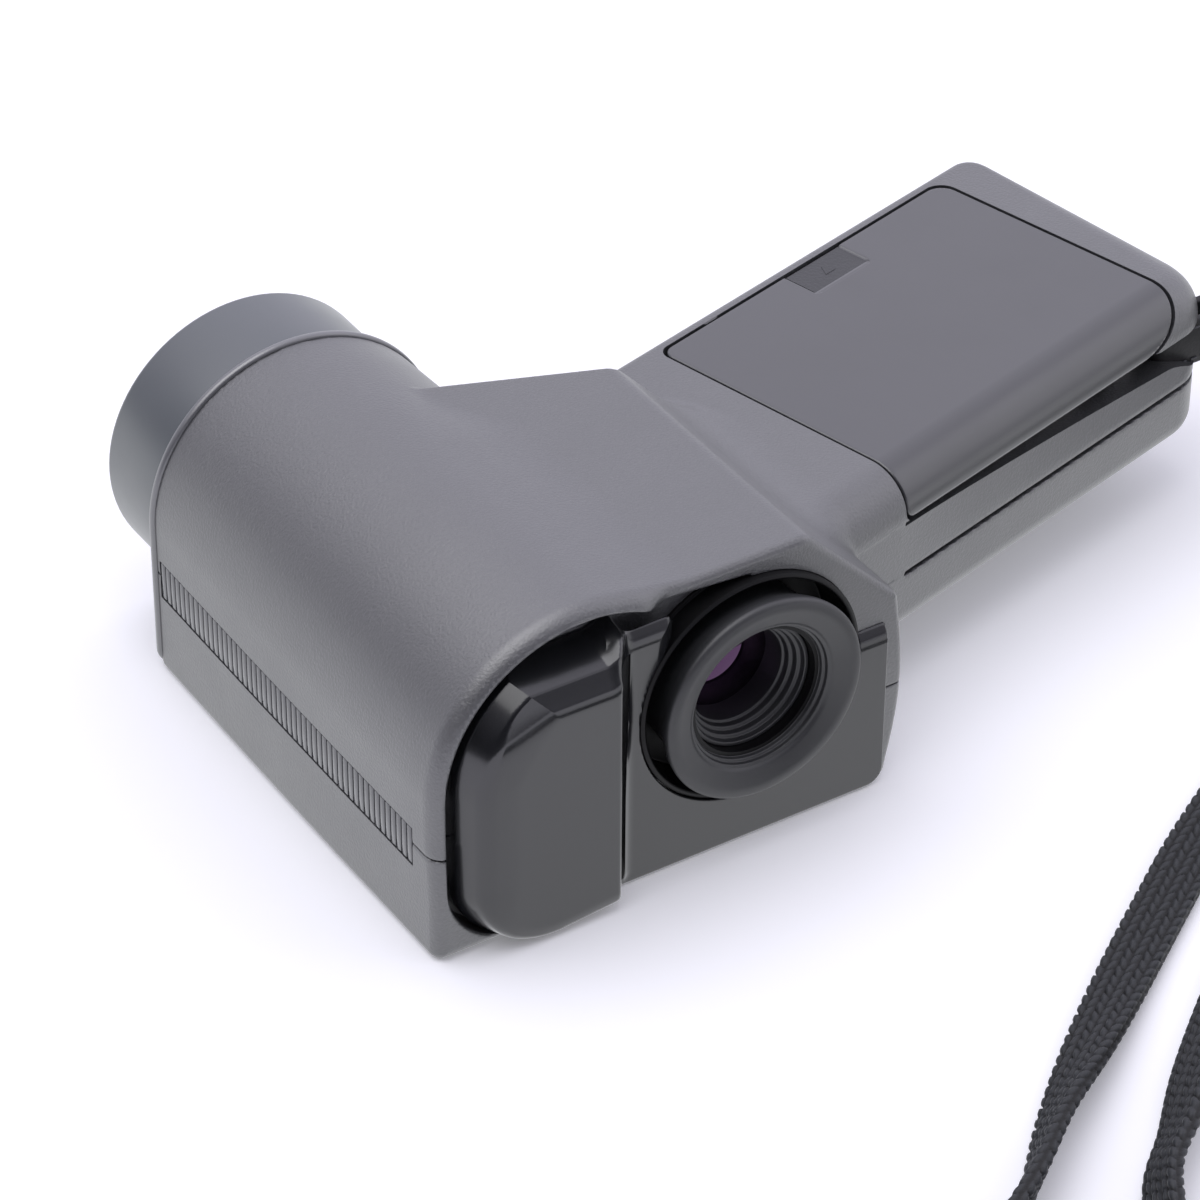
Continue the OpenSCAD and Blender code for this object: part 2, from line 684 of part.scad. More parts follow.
// Measuring button with its flange and stem
module trigger() stand() color("#55585c") grip_axes() translate([trigger_s, 0, trigger_z]) {
    box([-trigger_len / 2, -wall - gap, -trigger_h / 2], [trigger_len / 2, trigger_out, trigger_h / 2]);
    box([-trigger_len / 2 - flange, -wall - gap - flange_t, -trigger_h / 2 - flange],
        [trigger_len / 2 + flange, -wall - gap, trigger_h / 2 + flange]);
    translate([0, -wall - gap - flange_t + fit, 0]) rotate([90, 0, 0]) cylinder(r = stem_r, h = stem_len);
}

// Switch that the measuring button works, on a post of the lower shell
module trigger_switch() stand() color("#3b3d40") grip_axes() translate([trigger_s, switch_y, trigger_z])
    box([-switch_s / 2, -switch_d, -switch_z / 2], [switch_s / 2, 0, switch_z / 2]);

// Sweeps a section along points with a sideways and an upward direction at each
function cross_unit(a, b) = unit(cross(a, b));
module sweep(pts, sides, sections) {
    n = len(pts);
    rings = [for (k = [0:n - 1])
        let (t = unit(pts[min(k + 1, n - 1)] - pts[max(k - 1, 0)]),
            b = cross_unit(t, sides[k]),
            a = cross(b, t))
        for (q = sections) pts[k] + a * q[0] + b * q[1]];
    m = len(sections);
    skin = [for (k = [0:n - 2], j = [0:m - 1]) each [[k * m + j, k * m + (j + 1) % m, (k + 1) * m + j],
        [k * m + (j + 1) % m, (k + 1) * m + (j + 1) % m, (k + 1) * m + j]]];
    caps = [for (j = [1:m - 2]) each [[0, j + 1, j], [(n - 1) * m, (n - 1) * m + j, (n - 1) * m + j + 1]]];
    polyhedron(points = rings, faces = concat(skin, caps));
}

// Compression spring along local Z, of round wire
wire_r = 0.3;
module spring(r, h, turns) {
    steps = 12;
    pts = [for (k = [0:turns * steps]) let (u = k / steps) [r * cos(360 * u), r * sin(360 * u),
        wire_r + (h - 2 * wire_r) * u / turns]];
    sides = [for (k = [0:turns * steps]) [cos(30 * k), sin(30 * k), 0]];
    sweep(pts, sides, [for (j = [0:5]) wire_r * [cos(60 * j), sin(60 * j)]]);
}

// Return spring round the button's stem
module trigger_spring() stand() color("#b8bcc0") grip_axes()
    translate([trigger_s, -wall - gap - flange_t, trigger_z]) rotate([90, 0, 0])
    spring(stem_r + wire_r + slip, -wall - gap - flange_t - switch_y, 4);

// Battery door that wraps the grip's back edge and slides back to come off
module battery_door() stand() color("#474b50") difference() {
    intersection() {
        grip_form();
        grip_axes() union() {
            box([door_s0 + gap, -grip_w - cut, door_low + gap], [door_s1 - gap, -door_front - gap, far]);
            box([door_s0 - tongue, -grip_w - cut, shelf_z + gap],
                [door_s1 + tongue, -grip_w / 4 - 2 * gap, shelf_z + tongue - gap]);
        }
    }
    grip_axes() along_grip(0, grip_len) polygon(door_core(door_t));
    grip_axes() translate([(door_s0 + door_s1) / 2, -door_front - 5, grip_high])
        box([-9, -3, -0.5], [9, 3, cut]);
}

// Dry cell, size AA
module battery_cell() stand() color("#b08a3c") grip_axes() translate([cell_s0, cell_y, cell_z]) rotate([0, 90, 0]) {
    cylinder(r = 2.75, h = 2);
    translate([0, 0, 1.2]) cylinder(r = cell_r, h = cell_len - 1.2);
}

// Tray that cradles the cell in the grip
tray_z = grip_low + wall;
module battery_tray() stand() color("#2b2c2f") grip_axes() difference() {
    box([tray_s0, cell_y - cell_r - 1, tray_z], [tray_s1, cell_y + cell_r + 1, cell_z]);
    translate([tray_s0 + tray_wall, cell_y, cell_z]) rotate([0, 90, 0])
        cylinder(r = cell_r + gap, h = tray_s1 - tray_s0 - 2 * tray_wall);
}

// Spring contact at the cell's flat end, with its plate
module battery_spring() stand() color("#c9ccce") grip_axes() translate([cell_s1 + gap, cell_y, cell_z])
    rotate([0, 90, 0]) spring(3.5, spring_len, 3);

// Contact plates at both ends of the tray
module battery_contact() stand() color("#c9ccce") grip_axes() translate([0, cell_y, cell_z])
    for (s = [tray_s0 + tray_wall, cell_s1 + gap + spring_len]) box([s, -5, -5.3], [s + contact_t, 5, 3]);

// Brass bush of the tripod socket in the grip's end
bush_r = 5;
bush_len = 8.5;
bush_y = -15;
bush_z = 27;
module bush_place() translate([grip_len - bush_len, bush_y, bush_z]) rotate([0, 90, 0]) children();
module tripod_bush() stand() color("#b59a55") grip_axes() bush_place() difference() {
    cylinder(r = bush_r, h = bush_len);
    translate([0, 0, bush_len - socket_len]) cylinder(r = socket_d / 2, h = socket_len + cut);
}

// Steel pin across the strap pocket
module strap_pin() stand() color("#a9adb0") grip_axes()
    bar(pin_s, pin_y, pin_r, grip_low + wall + fit, pocket_top + wall - fit);

// Folded end of the strap round the pin
module strap_eye() stand() color("#1d1e20") grip_axes() translate([pin_s, pin_y, strap_mid - strap_w / 2])
    rotate([0, 0, -grip_turn]) linear_extrude(strap_w) difference() {
        union() {
            circle(r = eye_r);
            translate([0, -eye_r]) square([eye_len, 2 * eye_r]);
        }
        circle(r = pin_r + fit);
    }
strap_mid = (pocket_low + pocket_top) / 2;

// Wrist strap: its route on the table as X, Y, height and roll, where roll 90 is on edge
strap_route = [[159, 34.2, 25, 90], [165, 34, 24.5, 90], [174, 31, 21, 90], [181, 24, 16, 90], [183, 15, 11, 90],
    [180, 6, 7, 85], [173, 0, 4.5, 70], [158, -7, 3.8, 45], [140, -15, 2.6, 20], [118, -24, 1.4, 0],
    [99, -34.5, 1.4, 0], [86, -43, 1.4, 0], [73, -52, 1.4, 0], [60, -61.5, 2.5, 20], [48, -70.5, 4.1, 60],
    [38, -79, 4.2, 85], [26, -87, 4.1, 90], [14, -94, 4.1, 90], [7, -101, 4.1, 90], [5, -109, 4.1, 90],
    [8, -117, 4.1, 90], [14, -123, 4.1, 90], [22, -125, 4.1, 90], [31, -122, 4.1, 90], [37, -115, 4.1, 90],
    [42, -104, 4.2, 80], [51, -88, 4.2, 65], [60, -80, 4, 55], [69, -72, 3.8, 45], [84, -60.5, 3.3, 35],
    [100, -49.5, 2.8, 25], [118, -39, 2.8, 25], [138, -29, 3.3, 35], [158, -20, 4.2, 65], [173, -13, 4.5, 85],
    [184, -4, 7, 90], [189, 8, 11, 90], [186, 21, 16, 90], [177, 32, 21, 90], [165, 36.6, 24.5, 90],
    [159, 36.8, 25, 90]];
module wrist_strap() stand() color("#4a4d50") {
    n = len(strap_route);
    pts = [for (p = strap_route) [p[0], p[1], p[2]]];
    sides = [for (k = [0:n - 1])
        let (t = unit(pts[min(k + 1, n - 1)] - pts[max(k - 1, 0)]), w = unit([t[1], -t[0], 0]))
        w * cos(strap_route[k][3]) + cross_unit(w, t) * sin(strap_route[k][3])];
    a = strap_w / 2;
    b = strap_t / 2;
    sweep(pts, sides, [[a, -b / 2], [a, b / 2], [a - b, b], [b - a, b], [-a, b / 2], [-a, -b / 2], [b - a, -b],
        [a - b, -b]]);
}

// Cross-head screws that hold the two shells together
module screw() difference() {
    union() {
        cylinder(r = head_r, h = head_t);
        cylinder(r = screw_r, h = head_t + screw_len);
    }
    for (a = [0, 90]) rotate([0, 0, a]) translate([-1.3, -0.25, -cut]) cube([2.6, 0.5, cut + 0.8]);
}
module case_screws() stand() color("#2a2b2d") {
    for (p = body_screws) translate([p[0], p[1], head_z]) screw();
    grip_axes() translate([grip_screw[0], grip_screw[1], grip_low + head_z]) screw();
}

right_case();
left_case();
front_panel();
ribbed_strip();
lens_barrel();
barrel_nut();
front_lens();
lens_ring();
lens_spacer();
rear_lens();
optical_frame();
beam_splitter();
finder_mirror();
reticle_plate();
photocell();
rear_cover();
eyepiece_seat();
focus_ring();
eyecup();
lens_cell();
eyepiece_lens();
main_board();
display_panel();
display_window();
mode_key();
speed_key();
up_key();
down_key();
memory_key();
clear_key();
power_switch();
trigger();
trigger_spring();
trigger_switch();
battery_door();
battery_cell();
battery_tray();
battery_spring();
battery_contact();
tripod_bush();
strap_pin();
strap_eye();
wrist_strap();
case_screws();
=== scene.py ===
# %% [markdown]
# # A spot light meter that lies on its display side
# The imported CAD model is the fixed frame. Every size below is in millimetres in the
# meter's own axes: X runs from the top face to the grip's end, Y forward to the lens and
# Z up from the display side. One helper at the end of each piece moves it into the frame.

# %% Open the frame
import functools
import math

import bmesh
import bpy
import numpy as np
from mathutils import Matrix, Vector


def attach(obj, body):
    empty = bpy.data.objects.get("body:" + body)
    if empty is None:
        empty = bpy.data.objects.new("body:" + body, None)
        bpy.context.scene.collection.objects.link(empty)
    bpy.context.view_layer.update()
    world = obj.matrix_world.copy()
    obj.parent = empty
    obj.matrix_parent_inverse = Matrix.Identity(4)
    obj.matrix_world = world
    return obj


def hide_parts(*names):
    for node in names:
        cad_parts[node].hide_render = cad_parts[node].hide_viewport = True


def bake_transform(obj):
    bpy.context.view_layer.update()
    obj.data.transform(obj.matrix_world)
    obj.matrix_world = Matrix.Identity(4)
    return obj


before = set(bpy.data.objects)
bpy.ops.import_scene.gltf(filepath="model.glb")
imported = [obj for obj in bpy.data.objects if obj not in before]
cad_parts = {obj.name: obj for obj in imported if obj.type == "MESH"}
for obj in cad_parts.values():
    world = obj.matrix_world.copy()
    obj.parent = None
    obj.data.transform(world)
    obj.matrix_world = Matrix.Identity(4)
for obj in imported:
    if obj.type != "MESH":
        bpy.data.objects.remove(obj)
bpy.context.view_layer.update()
MIDDLE = Vector((74.83044, 41.55, 0.0))
MM = 0.001


def in_frame(x, y, z):
    """A point of the meter's axes, in millimetres, as a point of the frame in metres."""
    return (Vector((x, y, z)) - MIDDLE) * MM


def put(data):
    """A new object in the scene with the name of its data."""
    obj = bpy.data.objects.new(data.name, data)
    bpy.context.collection.objects.link(obj)
    return obj


# %% [markdown]
# ## Camera
# The camera's place was fitted to corners of the meter in the photograph. A long lens far
# away keeps the edges nearly parallel, as a product photograph has them.

# %% Camera
AZIMUTH, ELEVATION, ROLL = -32.77, 36.39, 0.37
lens = bpy.data.cameras.new("photo_camera")
lens.lens, lens.sensor_width, lens.sensor_fit, lens.clip_end = 150.05, 36, "HORIZONTAL", 20
camera = put(lens)
aim = Matrix.Identity(4)
for degrees, axis in ((AZIMUTH, "Z"), (90 - ELEVATION, "X"), (ROLL, "Z")):
    aim = aim @ Matrix.Rotation(math.radians(degrees), 4, axis)
camera.matrix_world = Matrix.Translation(in_frame(-248.47, -426.22, 421.02)) @ aim
bpy.context.scene.camera = camera
print("camera:", [round(v, 3) for v in camera.location], "m")

# %% [markdown]
# ## Finishes: how a material is built
# A colour is written as the hex value that an eye would read off a screen, and one
# function turns it into the linear light that a shader works with. One more function adds
# a node, sets it and links it, so each material reads as a short list.


# %% Colour and node helpers
def linear(colour):
    """An sRGB hex colour as linear red, green, blue and an alpha of 1."""
    parts = [int(colour[k:k + 2], 16) / 255 for k in (1, 3, 5)]
    return tuple(p / 12.92 if p < 0.04045 else ((p + 0.055) / 1.055) ** 2.4 for p in parts) + (1.0,)


def add(tree, kind, inputs=None, **settings):
    """Adds a shader node; an input is a number, a colour, a socket, or a node for its first output."""
    node = tree.nodes.new("ShaderNode" + kind)
    for name, value in settings.items():
        setattr(node, name, value)
    for name, value in (inputs or {}).items():
        if isinstance(value, bpy.types.Node):
            value = value.outputs[0]
        if isinstance(value, bpy.types.NodeSocket):
            tree.links.new(value, node.inputs[name])
        else:
            node.inputs[name].default_value = value
    return node


def blank(name):
    """A new material with no nodes yet, and its tree."""
    material = bpy.data.materials.new(name)
    material.use_nodes = True
    material.node_tree.nodes.clear()
    return material, material.node_tree


# %% [markdown]
# ## Moulded and painted surfaces
# Most of the meter is moulded plastic. The mould gives it a fine even grain, hands polish
# it unevenly, and the colour is never quite the same all over. So one builder makes a
# grain (noise at its size in millimetres) for the bump, and a slow cloud for colour and
# roughness. The finishes differ in their numbers.


# %% Builder for moulded, painted and rubbed surfaces
CLOUD = 14.0
NOISE_SPAN = {"From Min": 0.3, "From Max": 0.7}


def surface(name, colour, rough, grain=0.4, height=0.01, shade=0.06, wander=0.06, extra=None):
    """A procedural finish; grain and height are in millimetres, as the size of a cloud is."""
    material, tree = blank(name)
    place = add(tree, "TexCoord").outputs["Object"]
    slow = add(tree, "TexNoise", {"Vector": place, "Scale": 1 / (CLOUD * MM), "Detail": 4.0, "Roughness": 0.6})
    fine = add(tree, "TexNoise", {"Vector": place, "Scale": 1 / (grain * MM), "Detail": 2.0, "Roughness": 0.5})
    tone = add(tree, "MapRange", {**NOISE_SPAN, "Value": slow, "To Min": 1 - shade, "To Max": 1 + shade})
    speck = add(tree, "MapRange", {**NOISE_SPAN, "Value": fine, "To Min": 1 - shade / 2, "To Max": 1 + shade / 2})
    both = add(tree, "Math", {0: tone, 1: speck}, operation="MULTIPLY")
    paint = add(tree, "VectorMath", {0: linear(colour)[:3], "Scale": both}, operation="SCALE")
    gloss = add(tree, "MapRange", {**NOISE_SPAN, "Value": slow, "To Min": rough - wander, "To Max": rough + wander})
    bump = add(tree, "Bump", {"Height": fine, "Strength": 1.0, "Distance": height * MM})
    shader = add(tree, "BsdfPrincipled", {"Base Color": paint, "Roughness": gloss, "Normal": bump, **(extra or {})})
    add(tree, "OutputMaterial", {"Surface": shader})
    return material


SKIN = {"Specular IOR Level": 1.0, "Coat Weight": 1.0}
DEEP_SKIN = {**SKIN, "Coat IOR": 2.0}
# Spark-eroded ABS of the two shells: dark grey, with a fine grain that spreads the light into a broad sheen
case_abs = surface("grained_abs_case", "#323337", 0.45, grain=0.42, height=0.22,
                   extra={**DEEP_SKIN, "Coat Roughness": 0.42})
# The front panel is moulded smoother and a little paler; its colour is also raised as a painted highlight, so its
# rounded edge shows as a light bead
pale_panel_abs_painted_bead = surface("satin_abs_panel_painted_highlight", "#505156", 0.4, grain=0.42, height=0.004, shade=0.04,
                    extra={**DEEP_SKIN, "Coat Roughness": 0.3})
# Smooth satin ABS of the battery door: as dark, with hardly any grain
door_abs = surface("satin_abs_door", "#26272b", 0.34, grain=0.5, height=0.002, shade=0.04,
                   extra={**SKIN, "Coat Roughness": 0.3})
# Polished ABS of the back cover: a clear reflection over nearly black plastic
cover_abs = surface("polished_abs_cover", "#17181b", 0.2, grain=1.6, height=0.002, shade=0.03, wander=0.03,
                    extra={"Specular IOR Level": 0.8, "Coat Weight": 0.5, "Coat Roughness": 0.12})
# Painted aluminium of the lens barrel: a thin satin paint film
barrel_paint = surface("satin_painted_aluminium", "#2d373e", 0.42, grain=0.35, height=0.003, shade=0.04,
                       extra={**SKIN, "Coat IOR": 1.75, "Coat Roughness": 0.36})
# Black ABS of the eyepiece recess and the inner tubes: it swallows stray light
black_abs = surface("black_abs", "#0b0b0d", 0.45, grain=0.6, height=0.004, shade=0.1,
                    extra={"Specular IOR Level": 0.3})
# Moulded rubber of the eyecup: a soft dull sheen
eyecup_rubber = surface("moulded_rubber", "#26272a", 0.48, grain=0.5, height=0.006, shade=0.08,
                        extra={"Specular IOR Level": 1.0})
# Ribbed strip: the same ABS as the shells, moulded smoother, so each rib catches a thin light
strip_abs = surface("ribbed_abs_strip", "#3a3b40", 0.45, grain=0.45, height=0.006, shade=0.05, extra=SKIN)
print("finishes so far:", len(bpy.data.materials))

# %% [markdown]
# ## Turning a bmesh into a piece
# Each piece is shaped in millimetres, then moved into the frame in metres, shaded smooth
# except at sharp edges, and told which body it rides on, and the CAD nodes that it stands for are hidden.
# A few more helpers do what most pieces need: add a bar, thicken a sheet, round edges.


# %% Piece helpers
def dress(mesh, finish, body, nodes):
    """Puts a mesh in the scene with its finish and body, and hides the CAD nodes that it stands for."""
    obj = put(mesh)
    mesh.materials.append(finish)
    if body:
        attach(obj, body)
    if nodes:
        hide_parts(*nodes)
    print(f"{obj.name}: {len(mesh.polygons)} faces")
    return obj


def piece(name, bm, finish, body, nodes=(), sharp=35):
    """Puts a bmesh in the frame as one dressed object that rides on a body."""
    bmesh.ops.translate(bm, vec=-MIDDLE, verts=bm.verts)
    bmesh.ops.scale(bm, vec=(MM, MM, MM), verts=bm.verts)
    mesh = bpy.data.meshes.new(name)
    bm.to_mesh(mesh)
    bm.free()
    mesh.shade_smooth()
    if sharp:
        mesh.set_sharp_from_angle(angle=math.radians(sharp))
    return dress(mesh, finish, body, nodes)


def add_bar(bm, size, middle):
    """Adds a box of this size round a middle point, and gives its corners."""
    corners = bmesh.ops.create_cube(bm, size=1)["verts"]
    bmesh.ops.scale(bm, vec=size, verts=corners)
    bmesh.ops.translate(bm, vec=middle, verts=corners)
    return corners


def flat_band(bm, loops):
    """Fills the flat band between two loops of points."""
    rings = [[bm.verts.new(p) for p in loop] for loop in loops]
    edges = [bm.edges.new((ring[k - 1], ring[k])) for ring in rings for k in range(len(ring))]
    bmesh.ops.bridge_loops(bm, edges=edges)


def thicken(bm, vec):
    """Extrudes all faces along a vector into a closed solid."""
    raised = bmesh.ops.extrude_face_region(bm, geom=bm.faces[:])
    bmesh.ops.translate(bm, vec=vec, verts=[v for v in raised["geom"] if isinstance(v, bmesh.types.BMVert)])
    bmesh.ops.recalc_face_normals(bm, faces=bm.faces)


def round_edges(bm, edges, width, segments, clamp=False):
    """Rounds edges with a bevel of this width."""
    bmesh.ops.bevel(bm, geom=edges, offset=width, segments=segments, profile=0.5, affect="EDGES", material=-1,
                    clamp_overlap=clamp)


# %% [markdown]
# ## Wrist strap
# The strap is a flat braid of polyester yarn, 8 mm wide. It leaves the grip's end corner,
# drops to the table, lies there in one long loose loop and comes back. A cord must have a
# fixed length, so its route is the list of points that the CAD model has: X, Y, height and
# roll, where roll 90 is on edge. A smooth curve runs through them.

# %% Route of the strap
STRAP_WIDTH, STRAP_THICK = 8.0, 2.4
ROUTE = np.array([
    (159, 34.2, 25, 90), (165, 34, 24.5, 90), (174, 31, 21, 90), (181, 24, 16, 90), (183, 15, 11, 90),
    (180, 6, 7, 85), (173, 0, 4.5, 70), (158, -7, 3.8, 45), (140, -15, 2.6, 20), (118, -24, 1.4, 0),
    (99, -34.5, 1.4, 0), (86, -43, 1.4, 0), (73, -52, 1.7, -8), (60, -61.5, 2.7, -29), (48, -70.5, 3.7, -58),
    (38, -79, 4.1, -76), (26, -87, 4.1, -90), (14, -94, 4.1, -90), (7, -101, 4.1, -90), (5, -109, 4.1, -90),
    (8, -117, 4.1, -90), (14, -123, 4.1, -90), (22, -125, 4.1, -90), (31, -122, 4.1, -90), (37, -115, 4.1, -90),
    (42, -104, 4.2, -100), (51, -88, 4.2, -115), (60, -80, 4, -125), (69, -72, 3.8, -135), (84, -60.5, 3.3, -145),
    (100, -49.5, 2.8, -155), (118, -39, 2.8, -155), (138, -29, 3.3, -145), (158, -20, 4.2, -115),
    (173, -13, 4.5, -95), (184, -4, 7, -90), (189, 8, 11, -90), (186, 21, 16, -90), (177, 32, 21, -90),
    (165, 36.6, 24.5, -90), (159, 36.8, 25, -90)], float)


def smooth_route(points, step):
    """Points every step millimetres along a Catmull-Rom curve through the route."""
    ends = np.vstack([2 * points[0] - points[1], points, 2 * points[-1] - points[-2]])
    t = np.linspace(0, 1, 60, endpoint=False)[:, None]
    spans = [0.5 * (2 * b + (c - a) * t + (2 * a - 5 * b + 4 * c - d) * t ** 2 + (3 * b - a - 3 * c + d) * t ** 3)
             for a, b, c, d in zip(ends, ends[1:], ends[2:], ends[3:])]
    dense = np.vstack(spans + [points[-1:]])
    along = np.concatenate([[0], np.cumsum(np.linalg.norm(np.diff(dense[:, :3], axis=0), axis=1))])
    stations = np.linspace(0, along[-1], int(along[-1] / step) + 1)
    return stations, np.column_stack([np.interp(stations, along, dense[:, k]) for k in range(4)])


STITCH_STEP = 0.36
stations, route = smooth_route(ROUTE, STITCH_STEP)

# %% [markdown]
# ## The braid itself
# In a flat braid the yarns cross in columns, and each column shows a row of slanted
# stitches, leaning left and right in turn. Here a ring of points is swept along the route
# and each point is lifted by the height of its stitch. So the edge is scalloped and the
# gaps between stitches are real, and the finish also paints shade into them.

# %% Sweep the braid
COLUMNS, PER_COLUMN = 12, 5
STITCH_PITCH, STITCH_HEIGHT, STITCH_LEAN = 2.0, 0.55, 0.8
STITCH_PROFILE = np.array([0.02, 0.75, 1.0, 1.0, 0.75])
TABLE_PLAY = 0.05


def flat_outline(count, width, thick):
    """Points and outward directions, evenly round a flat outline with half-round edges."""
    r, half = thick / 2, (width - thick) / 2
    flat, bend = 2 * half, math.pi * r
    total = 2 * (flat + bend)
    walk = (np.arange(count) * total / count + half) % total
    starts = ((0, flat), (flat, bend), (flat + bend, flat), (2 * flat + bend, bend))
    over, down, back, up = (np.clip(walk - start, 0, leg) for start, leg in starts)
    angle = math.pi / 2 - (down + up) / r
    outward = np.column_stack([np.cos(angle), np.sin(angle)])
    return outward * r + np.column_stack([over - back - half, 0 * walk]), outward


def braid_height(station, index):
    """How far a stitch stands out, from 0 in the gaps to 1 on its back."""
    column, part = index // PER_COLUMN, index % PER_COLUMN
    across = part / PER_COLUMN - 0.5
    lean = np.where(column % 2 == 0, 1.0, -1.0)
    phase = station / STITCH_PITCH + 0.5 * (column % 2) + STITCH_LEAN * lean * across
    along = np.abs(2 * (phase % 1.0) - 1)
    return STITCH_PROFILE[part] * (1 - along ** 4)


def unit(v):
    return v / np.linalg.norm(v, axis=-1, keepdims=True)


count = COLUMNS * PER_COLUMN
outline, outward = flat_outline(count, STRAP_WIDTH - 2 * STITCH_HEIGHT, STRAP_THICK - 2 * STITCH_HEIGHT)
tangent = unit(np.gradient(route[:, :3], axis=0))
level = unit(np.column_stack([tangent[:, 1], -tangent[:, 0], 0 * tangent[:, 0]]))
roll = np.radians(route[:, 3])[:, None]
side = level * np.cos(roll) + unit(np.cross(level, tangent)) * np.sin(roll)
thick_way = unit(np.cross(tangent, side))
wide_way = np.cross(thick_way, tangent)
lift = STITCH_HEIGHT * braid_height(stations[:, None], np.arange(count)[None, :])
flat = outline[None] + outward[None] * lift[..., None]
rings = route[:, None, :3] + wide_way[:, None] * flat[..., :1] + thick_way[:, None] * flat[..., 1:]
rings[..., 2] = np.maximum(rings[..., 2], TABLE_PLAY)
print("braid points:", rings.shape[0] * rings.shape[1])

# %% [markdown]
# ## Braid material
# Polyester yarn is a bundle of fine filaments with a soft sheen. The stitches carry a
# stored depth, and the colour of the gaps is darkened as painted shade. A fine wave
# along the strap gives the filaments. Real filaments are 0.02 mm thick.
# They are drawn at 0.25 mm to show.

# %% Braid finish
FILAMENT = 0.25
braid, tree = blank("braided_polyester_painted_gap_shade")
place = add(tree, "TexCoord").outputs["Object"]
depth = add(tree, "Attribute", attribute_name="stitch").outputs["Fac"]
yarn = add(tree, "TexNoise", {"Vector": place, "Scale": 1 / (FILAMENT * MM), "Detail": 3.0, "Roughness": 0.6})
# Painted shade: the stitch height darkens the colour in the gaps between stitches, with a random yarn tone on top
yarn_tone_and_painted_gap_shade = add(tree, "Math", {0: yarn, 1: 0.35, 2: depth}, operation="MULTIPLY_ADD")
tint = add(tree, "ValToRGB", {"Fac": yarn_tone_and_painted_gap_shade})
# The dark stop is painted shade in the gaps; the light stop is the yarn's own colour
for stop, spot, colour in zip(tint.color_ramp.elements, (0.4, 1.0), ("#060607", "#2b2d31")):
    stop.position, stop.color = spot, linear(colour)
bump = add(tree, "Bump", {"Height": yarn, "Strength": 1.0, "Distance": 0.06 * MM})
shader = add(tree, "BsdfPrincipled", {
    "Base Color": tint, "Roughness": 0.55, "Normal": bump,
    "Sheen Weight": 0.15, "Sheen Roughness": 0.4, "Sheen Tint": linear("#9a9ca4")})
add(tree, "OutputMaterial", {"Surface": shader})

# %% Make the strap a piece
strip = bmesh.new()
# Each point keeps its stitch height, which the finish turns into painted shade in the gaps
stitch = strip.verts.layers.float.new("stitch")
points = [strip.verts.new(p) for p in rings.reshape(-1, 3)]
for vert, height in zip(points, (lift / STITCH_HEIGHT).ravel()):
    vert[stitch] = height
loops = [points[k:k + count] for k in range(0, len(points), count)]
for low, high in zip(loops, loops[1:]):
    for k in range(count):
        strip.faces.new((low[k], low[k - 1], high[k - 1], high[k]))
strip.faces.new(loops[0])
strip.faces.new(loops[-1][::-1])
bmesh.ops.recalc_face_normals(strip, faces=strip.faces)
strap = piece("braided_strap", strip, braid, "body", ["wrist_strap"], sharp=None)

# %% [markdown]
# ## The case as a field
# The case is one moulding whose parts flow into each other: a round housing, a flat
# shoulder, a slope and a grip, with soft valleys between them. Bevels can't follow such
# valleys, because each one swallows the small faces of the round part. So the form is
# written as a distance: below zero inside, above zero outside. Two distances join with a
# rounded corner or a soft valley, and the skin is laid on the zero surface afterwards.


# %% Distances that join, sharply or smoothly
def inside(*fields):
    """What lies inside all of these, with sharp edges."""
    return functools.reduce(np.maximum, fields)


def rmax(a, b, r):
    """What lies inside both, with the outer corner rounded to radius r."""
    return np.minimum(np.maximum(a, b), -r) + np.hypot(np.maximum(a + r, 0), np.maximum(b + r, 0))


def soft_min(a, b, k):
    """What lies inside either, with a soft valley that reaches k to each side."""
    h = np.maximum(k - np.abs(a - b), 0) / k
    return np.minimum(a, b) - h * h * k / 4


def soft_max(a, b, k):
    """What lies inside both, for faces that meet at a shallow angle."""
    return -soft_min(-a, -b, k)


def ramp(v, start, end):
    """0 before start, 1 after end, and smooth between them."""
    t = np.clip((v - start) / (end - start), 0, 1)
    return t * t * (3 - 2 * t)


def line(u, v, point, normal):
    """Distance from a straight edge through a point, along its outward normal."""
    length = math.hypot(*normal)
    return ((u - point[0]) * normal[0] + (v - point[1]) * normal[1]) / length


def box_field(u, v, low, high):
    return inside(low[0] - u, u - high[0], low[1] - v, v - high[1])


# %% Case sizes
HOUSING_R, AXIS_Z, HOUSING_Y = 23.0, 25.0, 73.0
LENS_AXIS, EYE_AXIS = (22.5, 24.3), (48.8, 25.0)
GRIP = dict(x=66.3, y=57.9, turn=math.radians(15), length=76.5, width=47.0, low=10.0, high=36.0)
DOOR_EDGE, DOOR_S, DOOR_Q, DOOR_T = 6.5, (6.0, 67.5), (1.8, 51.3), 1.8
COVE_IN, COVE_TOP, COVE_LOW, COVE_DROP = 2.2, 28.75, 20.4, 4.6
SHOULDER_Z, LIP, WALL = 45.0, 2.0, 2.2
SLIMMER, LOWER, DOOR_PLAY = 0.6, 1.3, 0.2


def grip_axes(x, y):
    """Distance along the grip, and towards its front, of a point of the meter's axes."""
    c, s = math.cos(GRIP["turn"]), math.sin(GRIP["turn"])
    dx, dy = x - GRIP["x"], y - GRIP["y"]
    return dx * c + dy * s, dy * c - dx * s


def narrowing(y):
    """The housing is a little slimmer and lower towards the lens."""
    return np.clip((y - 20) / 53, 0, 1) ** 1.6


def housing_outline(x, y, z):
    t = narrowing(y)
    radius, centre = HOUSING_R - SLIMMER * t, AXIS_Z - LOWER * t
    round_top = np.hypot(x - HOUSING_R, z - centre) - radius
    return np.where(z > centre, round_top, np.abs(x - HOUSING_R) - radius)


